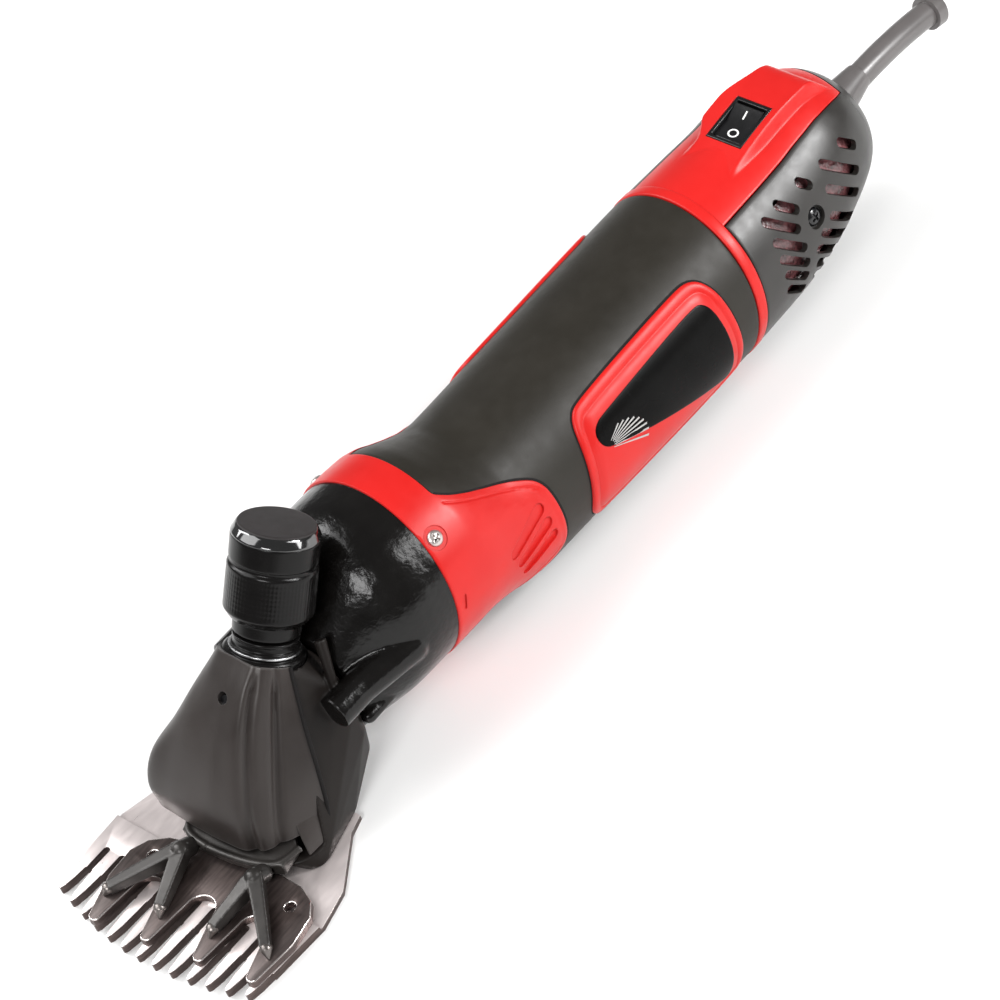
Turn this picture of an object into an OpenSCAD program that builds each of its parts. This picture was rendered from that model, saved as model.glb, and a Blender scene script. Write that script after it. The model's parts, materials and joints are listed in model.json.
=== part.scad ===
// Electric sheep shears: motor barrel, gear housing, shearing head, comb and cutter.
// The barrel's axis runs along X with the comb at -X and the cord at +X. +Z is up through
// the switch, and Z = 0 is the table that the shears lie on. Inside the modules, lengths
// along the barrel count from the joint between the grip and the rear housing.

/* [Stance] */
// Height of the barrel's axis above the table
axis_h = 32; // [32:0.5:33]

/* [Comb and cutter] */
// Width over the tips of the comb's outer teeth
comb_w = 76.5; // [74:0.5:78]
// Number of comb teeth
teeth = 13; // [11:2:13]
// Thickness of the comb under the cutter
comb_t = 3; // [2.5:0.1:3.2]
// Thickness of the cutter
cutter_t = 2.6; // [2.2:0.1:2.8]
// Half the swing of the fork, each side of the middle
half_swing = 7.5; // [5:0.5:7.5]

/* [Barrel] */
// Radius of the grip where it meets the rear housing
grip_r = 29.6; // [29:0.1:30]
// Length of the grip, from the front ring to the rear housing
grip_len = 126; // [126:1:127]
// Thickness of the plastic shells
wall = 2; // [1.8:0.1:2.2]
// How far the front ring's centre stands above the barrel's axis
front_rise = 9.2; // [9:0.1:9.5]
// Lean of the seams at both ends of the grip
seam_lean = 7.5; // [6:0.5:9]

/* [Tension knob] */
// Lean of the knob's axis towards the rear
knob_lean = 32; // [30:1:33]
// Radius of the knob's grip
knob_r = 13; // [12:0.5:13]

/* [Gear train] */
// Tooth size (module) of the gears
gear_module = 0.8; // [0.8]
// Teeth on the motor's pinion
pinion_teeth = 8; // [8]
// Teeth on the crank gear
crank_teeth = 27; // [27]
// Radius of the crank's roller
roller_r = 2.5; // [2.2:0.1:2.5]

/* [Cord outlet] */
// Radius of the hole that the cord passes through
cord_r = 3.2; // [3:0.1:3.4]
// Radius of the strain relief's sleeve
boot_r = 4.1; // [4:0.1:4.5]

/* [Hidden] */
$fn = 64;

big = 400;          // larger than the whole object
fit = 0.15;         // gap between shells that meet

// Lengthwise stations, from the joint between the grip and the rear housing
tip_x = -260.7;     // tip of the middle tooth
boot_x = 76;        // where the strain relief leaves the rear housing
ring_x = -grip_len; // rear edge of the red front ring, on the axis
ring_len = 12.6;    // width of the red front ring
nose_x = -172;      // joint between the gear housing and the head
pivot_x = -184;     // axis that the fork swings about
arc_r = 160;        // bend of the strain relief
arc_up = 6;         // heading of the strain relief where it starts, upwards
arc_down = 12;      // heading where it ends, downwards
boot_end = boot_x + arc_r * (sin(arc_up) + sin(arc_down));
mid_x = (tip_x + boot_end + 2.1) / 2;

// Comb and cutter heights, from the barrel's axis
comb_z = -axis_h;
comb_top = comb_z + comb_t;
heel_top = comb_top - 1.2;
tooth_pitch = comb_w / (teeth - 1);
tine_pitch = 3 * tooth_pitch;
tip_sag = 6.3;      // how far the outer tips stand behind the middle one
cutter_z = comb_top + 0.1;
cutter_tip_x = -256;

// Crank and gears
crank_z = gear_module * (pinion_teeth + crank_teeth) / 2;
roller_x = -161.5;
crank_throw = (roller_x - pivot_x) * tan(half_swing);
fork_gap = roller_r + 2 * crank_throw + 0.4;
gear_x = -147;
gear_w = 6;

// Knob axis: s is the distance down the axis from the top of the knob
knob_x = -161.2;
knob_z = 54.6;

// ---------------------------------------------------------------- helpers

module placed() translate([-mid_x, 0, axis_h]) children();

// A cylinder or tube along +X from x
module rod_x(x, len, r, y = 0, z = 0) translate([x, y, z]) rotate([0, 90, 0]) cylinder(r = r, h = len);

module tube_x(x, len, r_out, r_in, y = 0, z = 0) difference() {
    rod_x(x, len, r_out, y, z);
    rod_x(x - 1, len + 2, r_in, y, z);
}

// A round bar from point p to point q
module bar(p, q, r1, r2) {
    d = q - p;
    translate(p) rotate([0, acos(d[2] / norm(d)), atan2(d[1], d[0])])
        cylinder(r1 = r1, r2 = r2, h = norm(d), $fn = 32);
}

// Everything behind (keep = 1) or in front of (keep = -1) a seam that leans about the Y axis
module half_space(x, lean, keep) translate([x, 0, 0]) rotate([0, lean, 0])
    translate([keep > 0 ? 0 : -big, -big / 2, -big / 2]) cube(big);

module knob_frame(s) translate([knob_x - s * sin(knob_lean), 0, knob_z - s * cos(knob_lean)])
    rotate([0, knob_lean, 0]) children();

module swung() translate([pivot_x, 0, 0]) rotate([0, 0, half_swing]) translate([-pivot_x, 0, 0]) children();

module both_sides() for (side = [0, 1]) mirror([0, side, 0]) children();

// Side outline (x, z) pushed through one side of the barrel (side = -1 right, 1 left)
module side_prism(points, side) rotate([90, 0, 0])
    translate([0, 0, side < 0 ? 0 : -big]) linear_extrude(big) polygon(points);

// ---------------------------------------------------------------- outer forms

// Front of the barrel, where the grip rises and swells into a finger stop
module front_form(grow) {
    stations = [[-96, 28.5, -0.2], [-108, 29.5, 3.2], [-118, 30.2, 7.8], [-142, 31, front_rise]];
    for (i = [0:2]) hull() for (s = [stations[i], stations[i + 1]]) rod_x(s[0], 0.05, s[1] + grow, 0, s[2]);
}

// Straight part of the grip, slightly slimmer towards the front
module grip_form(grow) translate([-96, 0, 0]) rotate([0, 90, 0])
    cylinder(r1 = 28.5 + grow, r2 = grip_r + grow, h = 106);

// Rear housing: a slight taper, two blends up to the cord outlet's height, and a short cone
module rear_form(grow) {
    stations = [[34, 28.5, 0], [60, 24.4, 5.2], [73, 17, 4]];
    translate([-8, 0, 0]) rotate([0, 90, 0]) cylinder(r1 = grip_r + grow, r2 = 28.5 + grow, h = 42.05);
    for (i = [0, 1]) hull() for (s = [stations[i], stations[i + 1]])
        rod_x(s[0], 0.05, s[1] + grow, 0, s[2]);
    translate([73, 0, 4]) rotate([0, 90, 0]) cylinder(r1 = 17 + grow, r2 = 9 + grow, h = 4.5);
}

// Body of the red front lobes, seen from the side
lobe_outline = [[-132, 36], [-122.5, 35.4], [-112, 26.6], [-95, 17], [-91.5, 14], [-90.6, 10],
    [-90.6, -9], [-93, -13], [-119, -17.5], [-132, -17.5]];
badge_outline = [[-66, 21], [-16, 21.8], [-11, 20], [-9.3, 14], [-9.3, -12], [-12, -17], [-74, -17],
    [-79, -13], [-79, -6], [-73.5, 16], [-70, 20]];
label_outline = [[-62, 14.8], [-17.5, 17.2], [-15, 15.5], [-14.3, -7], [-16.5, -11.5], [-20, -12],
    [-66, 5.5], [-69, 8], [-69.2, 11.5], [-66.5, 14]];

module front_ring_slab(grow) intersection() {
    half_space(ring_x - ring_len - grow, seam_lean, 1);
    half_space(ring_x + grow, seam_lean, -1);
}

// ---------------------------------------------------------------- barrel shells

module grip_sleeve() color("#37342f") placed() difference() {
    union() {
        intersection() {
            front_form(0);
            half_space(ring_x + fit, seam_lean, 1);
        }
        intersection() {
            grip_form(0);
            half_space(-fit, seam_lean, -1);
        }
    }
    front_form(-wall);
    grip_form(-wall);
    for (side = [-1, 1]) {
        side_prism(lobe_outline, side);
        intersection() {
            translate([0, side * fit, 0]) side_prism(badge_outline, side);
            tube_x(-90, 90, 40, 28 - 0.2);
        }
    }
}

module front_trim() color("#e0241f") placed() {
    difference() {
        intersection() {
            front_form(0.4);
            union() {
                front_ring_slab(0);
                intersection() {
                    for (side = [-1, 1]) side_prism([for (p = lobe_outline) p - [fit, 0]], side);
                    half_space(ring_x - ring_len, seam_lean, 1);
                }
            }
        }
        front_form(-wall);
        grip_form(-wall);
        // air outlet slots in the rear of each lobe
        for (i = [0:2]) translate([-106 + 5 * i, -big / 2, -2]) rotate([0, 25, 0]) cube([2, big, 12]);
        // pockets for the screws
        both_sides() trim_screw_frame() {
            translate([0, 0, -15]) cylinder(r = 1.7, h = 30);
            translate([0, 0, -0.4]) cylinder(r = 3.5, h = 10);
        }
    }
}

module badge_panel(side) color("#e0241f") placed() difference() {
    intersection() {
        tube_x(-90, 90, 30.8, 28);
        side_prism(badge_outline, side);
    }
    intersection() {
        side_prism(label_outline, side);
        tube_x(-90, 90, 40, 30.1);
    }
}

module label_plate(side) color("#0c0c0d") placed() intersection() {
    tube_x(-90, 90, 30.75, 30.15);
    side_prism([for (p = label_outline) [p[0] * 0.994 - 0.2, p[1] * 0.98]], side);
}

// Slots of the rear grille: slanted bars on a constant pitch, split by a diagonal rib
// Rows of air slots: start (x, z), end of the front slot, start and end of the slot behind the rib
vent_rows = [[54.4, 17.3, 60, 0, 0], [44.6, 17.4, 56.5, 0, 0], [34.5, 18.5, 38.2, 41.5, 54],
    [23.7, 18.9, 29.5, 38.5, 51], [16.9, 18.3, 26.2, 33, 47], [15.6, 12.4, 25.4, 29.5, 43],
    [14.7, 7, 24.8, 28.6, 40], [14.2, 1.4, 23.6, 27.4, 36.5], [13.6, -4.4, 22.6, 26.2, 31.5]];
vent_slant = 46.5;

module vent_slots() for (r = vent_rows) {
    offset_r = r[0] * sin(vent_slant) + r[1] * cos(vent_slant);
    slot_bar(r[0], r[2], offset_r, vent_slant);
    if (r[3] > 0) slot_bar(r[3], r[4], offset_r, vent_slant);
}

// One slot between two stations along the barrel, on the line that stands offset_k from the origin
module slot_bar(x0, x1, offset_k, slant) {
    z0 = (offset_k - x0 * sin(slant)) / cos(slant);
    translate([x0, 0, z0]) rotate([0, slant, 0]) translate([0, -big / 2, -1.2])
        cube([(x1 - x0) / cos(slant), big, 2.4]);
}

// Height of the seam between the red cap and the grille cover
cap_z = 23.4;

module switch_pad_profile(drop) polygon([[22, 20], [22, 28.2 - drop], [26, 28.8 - drop], [50, 31.6 - drop],
    [60, 31 - drop], [65, 28.4 - drop], [67, 24], [66, 20]]);

// The pocket that the switch sits in
module switch_cut(grow, depth) translate([39, 0, 30]) rotate([0, -6.6, 0])
    translate([-8.2 - grow, -6.7 - grow, -depth]) cube([16.4 + 2 * grow, 13.4 + 2 * grow, depth + 10]);

module rear_cap() color("#e0241f") placed() difference() {
    union() {
        intersection() {
            difference() {
                rear_form(0);
                rear_form(-wall);
            }
            union() {
                translate([-20, -big / 2, cap_z]) cube([90, big, big]);
                half_space(4, seam_lean, -1);
            }
            half_space(0, seam_lean, 1);
        }
        intersection() {
            rotate([90, 0, 0]) translate([0, 0, -13.8]) linear_extrude(24.6) switch_pad_profile(0);
            translate([-20, -big / 2, cap_z]) cube([big, big, big]);
        }
    }
    rotate([90, 0, 0]) linear_extrude(17, center = true) switch_pad_profile(wall);
    intersection() {
        rear_form(-wall);
        translate([-20, -big / 2, -big + cap_z + 3]) cube([84, big, big]);
    }
    switch_cut(0.1, 12);
}

module rear_grille_cover() color("#34312f") placed() difference() {
    intersection() {
        rear_form(0);
        half_space(4 + fit, seam_lean, 1);
        translate([-20, -big / 2, -big + cap_z - fit]) cube([big, big, big]);
    }
    intersection() {
        rear_form(-wall);
        translate([-20, -big / 2, -big / 2]) cube([94, big, big]);
    }
    vent_slots();
    rod_x(60, 30, 5.2, 0, 4);
    both_sides() translate([33.5, -26, 7]) rotate([90, 0, 0]) {
        cylinder(r = 1.7, h = 20, center = true);
        translate([0, 0, 0.9]) cylinder(r = 3.3, h = 10);
    }
}

module switch_bezel() color("#17171a") placed() translate([39, 0, 30]) rotate([0, -6.6, 0]) difference() {
    translate([-8.2, -6.7, -9]) cube([16.4, 13.4, 9.5]);
    translate([-7, -5.6, -8]) cube([14, 11.2, 12]);
}

// A shallow V-topped rocker. It rests with its front end down, in the off position.
module switch_rocker() color("#101012") placed() translate([39, 0, 30]) rotate([0, -6.6, 0])
    translate([0, 0, -2.5]) rotate([0, -8, 0]) rotate([90, 0, 0]) linear_extrude(10.8, center = true)
        polygon([[-6.2, 2.6], [0, 1.7], [6.2, 2.6], [6.1, -0.6], [2, -3.2], [-2, -3.2], [-6.1, -0.6]]);

module switch_contacts() color("#b98f45") placed() translate([39, 0, 30]) rotate([0, -6.6, 0])
    for (x = [-5, 0, 5]) translate([x - 0.4, -2.4, -16]) cube([0.8, 4.8, 7 - fit]);

// ---------------------------------------------------------------- cord outlet

// Sweep of the strain relief: a round bar bent in the XZ plane
module boot_arc(r, from, to) translate([boot_x + arc_r * sin(arc_up), 0, 4 - arc_r * cos(arc_up)])
    rotate([90, 0, 0]) rotate([0, 0, 90 - to]) rotate_extrude(angle = to - from)
        translate([arc_r, 0]) circle(r = r, $fn = 48);

module boot_point(heading) translate([boot_x + arc_r * (sin(arc_up) + sin(heading)), 0,
    4 - arc_r * (cos(arc_up) - cos(heading))]) rotate([0, 90 + heading, 0]) children();

module strain_relief_boot() color("#1f1d1c") placed() difference() {
    union() {
        boot_arc(boot_r, -arc_up, arc_down);
        boot_point(-arc_up) translate([0, 0, -6.5]) cylinder(r = 7, h = 3.2);
        boot_point(-arc_up) translate([0, 0, -4]) cylinder(r = 5, h = 7);
        boot_point(-arc_up) translate([0, 0, 2.4]) cylinder(r1 = 6.2, r2 = boot_r + 0.2, h = 11);
        boot_point(arc_down) translate([0, 0, -3]) cylinder(r = 5.6, h = 4);
    }
    boot_arc(cord_r - 0.2, -arc_up, arc_down);
    boot_point(-arc_up) translate([0, 0, -20]) cylinder(r = cord_r, h = 21);
    boot_point(arc_down) translate([0, 0, -6]) cylinder(r = cord_r, h = 12);
}

module cord_clamp() color("#2a2a2c") placed() difference() {
    translate([58, -9, -4.6]) cube([8, 18, 5]);
    rod_x(50, 20, cord_r, 0, 2);
    for (y = [-6, 6]) translate([62, y, -10]) cylinder(r = 1.3, h = 20);
}

module cord_clamp_screws() color("silver") placed() for (y = [-6, 6]) translate([62, y, 0]) {
    translate([0, 0, 0.5]) cylinder(r = 2.4, h = 1.6);
    translate([0, 0, -9]) cylinder(r = 1.2, h = 10);
}

// ---------------------------------------------------------------- motor

motor_r = 26.2;

// Thin motor shell with a rear wall and a seat for the rear bearing. Its front narrows around
// the fan, because the grip rises there.
module motor_housing() color("#55585c") placed() translate([-120, 0, 0]) difference() {
    rotate([0, 90, 0]) rotate_extrude() polygon([[17.6, 0], [19.4, 0], [motor_r, 24], [motor_r, 102], [5, 102],
        [5, 98], [9.5, 98], [9.5, 89], [12, 89], [12, 99], [motor_r - 1.8, 99], [motor_r - 1.8, 24]]);
    // air inlets
    for (i = [0:7]) rotate([45 * i + 22.5, 0, 0]) translate([95, -3.2, 14]) cube([10, 6.4, 8]);
    // brush tunnels
    for (a = [0, 180]) translate([76, 0, 0]) rotate([a, 0, 0]) cylinder(r = 4.1, h = 40);
}

module field_core() color("#8a8d90") placed() difference() {
    rod_x(-95.9, 38, motor_r - 2);
    rod_x(-97, 40, 14.6);
    for (side = [0, 180]) rotate([side, 0, 0]) translate([-97, 11.2, -12]) cube([40, 6.4, 24]);
}

module field_coils() color("#b5652b") placed() both_sides() difference() {
    translate([-100, 11.4, -10.4]) cube([46, 5.8, 20.8]);
    translate([-95, 11, -5]) cube([36, 7, 10]);
    rod_x(-105, 60, 14.9);
}

module brush_holders() color("#c8a24c") placed() for (a = [0, 180]) translate([-44, 0, 0]) rotate([a, 0, 0])
    difference() {
        translate([0, 0, 10.4]) cylinder(r = 3.8, h = 15.4);
        translate([-2.1, -2.6, 9]) cube([4.2, 5.2, 15]);
    }

module carbon_brushes() color("#2b2b2d") placed() for (a = [0, 180]) translate([-44, 0, 0]) rotate([a, 0, 0])
    translate([-2, -2.5, 9.1]) cube([4, 5, 8.5]);

// Closed coils, drawn as rings on a thin sleeve
module brush_springs() color("silver") placed() for (a = [0, 180]) translate([-44, 0, 0]) rotate([a, 0, 0])
    translate([0, 0, 18]) rotate_extrude() {
        for (i = [0:3]) translate([1.5, 1.5 * i]) circle(r = 0.35, $fn = 16);
        translate([1.4, 0]) square([0.2, 4.5]);
    }

// A ball bearing as one solid, with a groove in each face between its rings
module ball_bearing(x, len, r_out, r_in, y = 0, z = 0) {
    tube_x(x, len, r_out, r_out - 1.6, y, z);
    tube_x(x, len, r_in + 1.4, r_in, y, z);
    tube_x(x + 0.5, len - 1, r_out - 1.6, r_in + 1.4, y, z);
}

module motor_front_bearing() color("#c9ccd0") placed() ball_bearing(-134, 7, 11, 4.02);

module motor_rear_bearing() color("#c9ccd0") placed() ball_bearing(-29, 7, 9.45, 3.52);

module armature_shaft() color("#a9adb2") placed() {
    rod_x(-127, 97.9, 4);
    rod_x(-134.5, 7.6, 3.98);
    rod_x(-148, 13.6, 2);
    rod_x(-29.2, 8.2, 3.48);
}

module armature_core() color("#7b7e82") placed() difference() {
    rod_x(-95.9, 38, 14);
    rod_x(-97, 40, 4.02);
    for (i = [0:11]) rotate([30 * i, 0, 0]) translate([-97, -0.9, 9.5]) cube([40, 1.8, 6]);
}

module armature_winding() color("#b5652b") placed() for (x = [-102.6, -57.8]) tube_x(x, 6.6, 12.4, 4.1);

module commutator() color("#b87333") placed() difference() {
    rod_x(-50, 12, 9);
    rod_x(-51, 14, 4.02);
    for (i = [0:23]) rotate([15 * i, 0, 0]) translate([-51, -0.2, 8.1]) cube([14, 0.4, 2]);
}

module cooling_fan() color("#2e3236") placed() {
    tube_x(-114, 8.8, 6.5, 4.02);
    tube_x(-106.7, 1.5, 19.5, 6.4);
    for (i = [0:11]) rotate([30 * i, 0, 0]) translate([-113, -0.6, 9]) cube([6.6, 1.2, 10]);
}

// A spur gear along X, with teeth that taper from root to tip
module spur_gear(x, len, count, bore, phase) {
    r_pitch = gear_module * count / 2;
    r_root = r_pitch - 1.25 * gear_module;
    r_tip = r_pitch + 0.85 * gear_module;
    step = 360 / count;
    translate([x, 0, 0]) rotate([90, 0, 90]) linear_extrude(len) difference() {
        polygon([for (i = [0:count - 1], k = [0:3])
            let (a = phase + step * (i + [-0.36, -0.13, 0.13, 0.36][k]), r = k == 0 || k == 3 ? r_root : r_tip)
            r * [cos(a), sin(a)]]);
        circle(r = bore);
    }
}

module drive_pinion() color("#c9ccd0") placed() spur_gear(gear_x, gear_w, pinion_teeth, 2.02, 90);

// ---------------------------------------------------------------- gear train and gear housing

module gear_plate() color("#9b9ea2") placed() difference() {
    rod_x(-140, 13.2, 27.5, 0, front_rise - 0.5);
    rod_x(-134.6, 8, 11.05);
    rod_x(-141, 20, 5.5);
    rod_x(-141, 5.5, 6.55, 0, crank_z);
    rod_x(-141, 9, 4, 0, crank_z);
    for (y = [-17, 17]) rod_x(-141, 20, 1.8, y, 21);
    both_sides() trim_screw_frame() translate([0, 0, -9]) cylinder(r = 1.6, h = 12);
}

// Outer form of the gear housing, or its hollow, which runs out at both ends
module housing_form(grow) {
    past = grow < 0 ? 1 : 0;
    hull() {
        rod_x(-133, 0.05, 30.9 + grow, 0, front_rise);
        rod_x(-150, 0.05, 30.5 + grow, 0, 9);
        for (y = [-1, 1]) {
            rod_x(nose_x - past, 0.05, 11 + grow, 9 * y, -10.8);
            rod_x(nose_x - past, 0.05, 12 + grow, 8 * y, -2);
            rod_x(nose_x - past, 0.05, 10.5 + grow, 5.5 * y, 6.5);
        }
    }
}

boss_y = 21.5;
boss_z = 6;
boss_r = 4.8;

module gear_housing() color("#131110") placed() difference() {
    union() {
        difference() {
            intersection() {
                housing_form(0);
                half_space(ring_x - ring_len - fit, seam_lean, -1);
            }
            housing_form(-2.6);
        }
        // web that carries the crank's front bearing
        intersection() {
            rod_x(-155, 6, 40);
            housing_form(-2.5);
            translate([-160, -12, -40]) cube([10, 24, 80]);
        }
        both_sides() rod_x(-172, 22, boss_r, -boss_y, boss_z);
    }
    rod_x(-156, 8, 6.55, 0, crank_z);
    rod_x(-150.5, 2, 11.9, 0, crank_z);
    both_sides() rod_x(-173, 30, 1.8, -boss_y, boss_z);
    both_sides() intersection() {
        housing_form(-2.6);
        translate([-172, -big, -40]) cube([16, big, 80]);
        rod_x(-172, 40, boss_r + 4, -boss_y, boss_z);
    }
    // room for the tension sleeve's collar
    knob_frame(41.4) cylinder(r = 12.3, h = 5);
}

module gear_housing_screws() color("#26262a") placed() both_sides() {
    rod_x(-150 + 0.05, 3.4, 3.4, -boss_y, boss_z);
    rod_x(-180, 30.2, 1.7, -boss_y, boss_z);
}

// Frame of a screw in the front ring, square to the barrel's surface
module trim_screw_frame() translate([-130, 0, 8.6]) rotate([50, 0, 0]) translate([0, 0, 30.3]) children();

module trim_screws() color("silver") placed() both_sides() trim_screw_frame() {
    translate([0, 0, -0.35]) cylinder(r = 3.1, h = 1.5);
    translate([0, 0, -8]) cylinder(r = 1.5, h = 8);
}

module grille_screws() color("#1b1b1d") placed() both_sides() translate([33.5, -26.95, 7]) rotate([90, 0, 0]) {
    cylinder(r = 3, h = 1.5);
    translate([0, 0, -6]) cylinder(r = 1.5, h = 6.1);
}

module crank_shaft() color("#a9adb2") placed() {
    rod_x(-156, 20, 3, 0, crank_z);
    rod_x(-158.2, 2.3, 5, 0, crank_z);
    rod_x(-164.6, 6.5, 1.4, crank_throw, crank_z);
}

module crank_gear() color("#8f9296") placed() translate([0, 0, crank_z])
    spur_gear(gear_x, gear_w, crank_teeth, 3.02, 270 + 180 / crank_teeth);

module crank_roller() color("#d5d8dc") placed() tube_x(-164.3, 5.6, roller_r, 1.45, crank_throw, crank_z);

module crank_front_bearing() color("#c9ccd0") placed() ball_bearing(-155, 4.5, 6.5, 3.02, 0, crank_z);

module crank_rear_bearing() color("#c9ccd0") placed() ball_bearing(-140, 4.4, 6.5, 3.02, 0, crank_z);

// ---------------------------------------------------------------- head

gap_lean = 23.7;    // lean of the seam between the cover and the casting
gap_x = -194;       // where that seam crosses the barrel's axis height
bed_top = -25.6;    // inside floor of the head
lip_z = -20.2;      // lower edge of the cover over the fork

// Rounded corners of the head at one height: front (x, half width, radius), rear the same.
// The front flares further on the +Y side, by flare.
module head_level(z, front, rear, grow, flare = 0) {
    for (y = [-1, 1]) translate([rear[0] - rear[2], y * (rear[1] - rear[2]), z])
        cylinder(r = rear[2] + grow, h = 0.05, $fn = 40);
    translate([front[0] + front[2], front[2] - front[1], z])
        cylinder(r = front[2] + grow, h = 0.05, $fn = 40);
    translate([front[0] + front[2], front[1] + flare - front[2], z])
        cylinder(r = front[2] + grow, h = 0.05, $fn = 40);
}

module head_form(grow) hull() {
    head_level(grow < 0 ? bed_top : heel_top + 0.05, [-212.5, 27, 5], [-187, 22.5, 5], grow);
    head_level(-21.5, [-220, 22, 9], [nose_x, 18, 5], grow, 4);
    head_level(-12, [-220.5, 20, 10], [nose_x, 20, 5], grow, 8);
    head_level(-2, [-218, 18.5, 10], [nose_x, 20, 5], grow, 7);
    head_level(8, [-211, 15.5, 10], [nose_x, 17.5, 5], grow, 5);
    head_level(14 + grow, [-206.5, 14, 10], [nose_x, 12, 5], grow, 3);
    head_level(25 + grow, [-197.5, 11, 9], [-184, 10, 6], grow, 0.5);
}

// Hollow of the head, less the boss for the tension sleeve and the fulcrum post's seat
module head_hollow() difference() {
    head_form(-3);
    knob_frame(49) cylinder(r = 11, h = 20);
    translate([pivot_x, 0, bed_top - 1]) cylinder(r = 7, h = 5);
}

module head_casting() color("#4a4340") placed() difference() {
    union() {
        difference() {
            intersection() {
                head_form(0);
                union() {
                    half_space(gap_x + fit, gap_lean, 1);
                    translate([-big, -big / 2, -big + bed_top]) cube([2 * big, big, big]);
                }
                translate([-big + nose_x - fit, -big / 2, -big / 2]) cube(big);
            }
            head_hollow();
            translate([nose_x - 6, -14.5, -18]) cube([8, 29, 28.5]);
        }
        // ears for the housing screws
        both_sides() rod_x(-182, 9.8, boss_r, -boss_y, boss_z);
    }
    knob_frame(60) cylinder(r = 8.05, h = 30);
    knob_frame(41.05) cylinder(r = 12.2, h = 20);
    both_sides() rod_x(-181, 12, 1.75, -boss_y, boss_z);
    translate([pivot_x, 0, bed_top - 3]) cylinder(r = 4.05, h = 12);
    for (y = [-14, 14]) translate([-201, y, -40]) cylinder(r = 2.1, h = 20);
}

module head_cover() color("#4d4643") placed() difference() {
    intersection() {
        head_form(0);
        half_space(gap_x, gap_lean, -1);
        translate([-big, -big / 2, bed_top + fit]) cube([2 * big, big, big]);
    }
    head_form(-3);
    // mouth that the fork reaches out of
    translate([-big - 204, -23.8, -40]) cube([big, 47.6, 40 + lip_z]);
    knob_frame(60) cylinder(r = 12.6, h = 30);
    cover_screw_frame() cylinder(r = 2, h = 20, center = true);
}

// Frame on the middle of the cover, square to its slope
module cover_screw_frame() translate([-201.2, 0, 19.4]) rotate([0, -45, 0]) children();

module cover_screw() color("#161617") placed() cover_screw_frame()
    translate([0, 0, -4.2]) cylinder(r = 1.9, h = 3);

module fulcrum_post() color("#b4b7bb") placed() {
    translate([pivot_x, 0, bed_top - 3]) cylinder(r = 4, h = 18);
    translate([pivot_x, 0, bed_top + 15]) cylinder(r1 = 4, r2 = 2.5, h = 1.5);
}

fork_profile = [[-224.5, -25.3], [-206, -24.9], [-196, -16], [-178, -12], [-167, 8], [-158.5, 9.5],
    [-158.5, 18.5], [-164, 18.5], [-168, 13], [-177, 3], [-196, 3], [-203, -8], [-210, -20.7],
    [-224.5, -21.4]];
fork_plan = [[-158.5, 11], [-163, 11], [-169, 9.6], [-175, 7], [-202, 7], [-214, 18], [-221.5, 18.4],
    [-223.8, 12],
    [-224.5, 0]];

module fork() color("#3b3633") placed() swung() difference() {
    intersection() {
        rotate([90, 0, 0]) linear_extrude(60, center = true) polygon(fork_profile);
        translate([0, 0, -50]) linear_extrude(100)
            polygon(concat(fork_plan,
                [for (i = [len(fork_plan) - 2:-1:0]) [fork_plan[i][0], -fork_plan[i][1]]]));
        // the crank end is rounded to clear the gear housing
        union() {
            rod_x(-178, 30, 13.5, 0, 7.5);
            translate([-250, -30, -50]) cube([73, 60, 100]);
        }
    }
    translate([-165.8, -fork_gap, 0]) cube([30, 2 * fork_gap, 40]);
    translate([pivot_x, 0, -40]) cylinder(r = 4.1, h = 40 - 8);
    for (y = [-13.3, 13.3]) rod_x(-226, 7, 1.6, y, -23.4);
}

// One yoke: a hub on a stub shaft, and two prongs that press on a pair of cutter tines
module yoke(side) color("#45403c") placed() swung() {
    hub = [-228.4, side * 13.3, -20.8];
    translate(hub) sphere(r = 3.4);
    rod_x(-227, 7, 1.5, side * 13.3, -23.4);
    for (k = [0.5, 1.5]) {
        foot = [-245.5, side * k * tine_pitch, cutter_z + cutter_t + 2.5];
        bar(hub, foot, 2.7, 2.1);
        translate(foot) sphere(r = 2.4);
    }
}

module yoke_left() yoke(1);

module yoke_right() yoke(-1);

// Plan of the cutter: four tines with round gullets between them
gullet_r = 4.8;
module cutter_plan() {
    gullet_x = -236 - gullet_r;
    half = 1.5 * tine_pitch;
    polygon(concat(
        [[-226, half + 1], [-222.8, 24], [-221.6, 16], [-221.6, -16], [-222.8, -24], [-226, -half - 1],
         [-231, -half - 4.2], [gullet_x, -half - 4.8]],
        [for (k = [-1.5:1.5]) each concat(
            [[-250, k * tine_pitch - 2.9], [cutter_tip_x + 1, k * tine_pitch - 1.8],
             [cutter_tip_x, k * tine_pitch - 0.8], [cutter_tip_x, k * tine_pitch + 0.8],
             [cutter_tip_x + 1, k * tine_pitch + 1.8], [-250, k * tine_pitch + 2.9]],
            k == 1.5 ? [] : [for (a = [-90:15:90])
                [gullet_x + gullet_r * cos(a), (k + 0.5) * tine_pitch + gullet_r * sin(a)]])],
        [[gullet_x, half + 4.8], [-231, half + 4.2]]));
}

module cutter() color("#5b5552") placed() swung() translate([0, 0, cutter_z]) linear_extrude(cutter_t)
    difference() {
        cutter_plan();
        for (y = [-25, 25]) translate([-230, y]) circle(r = 1.7);
    }

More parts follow.
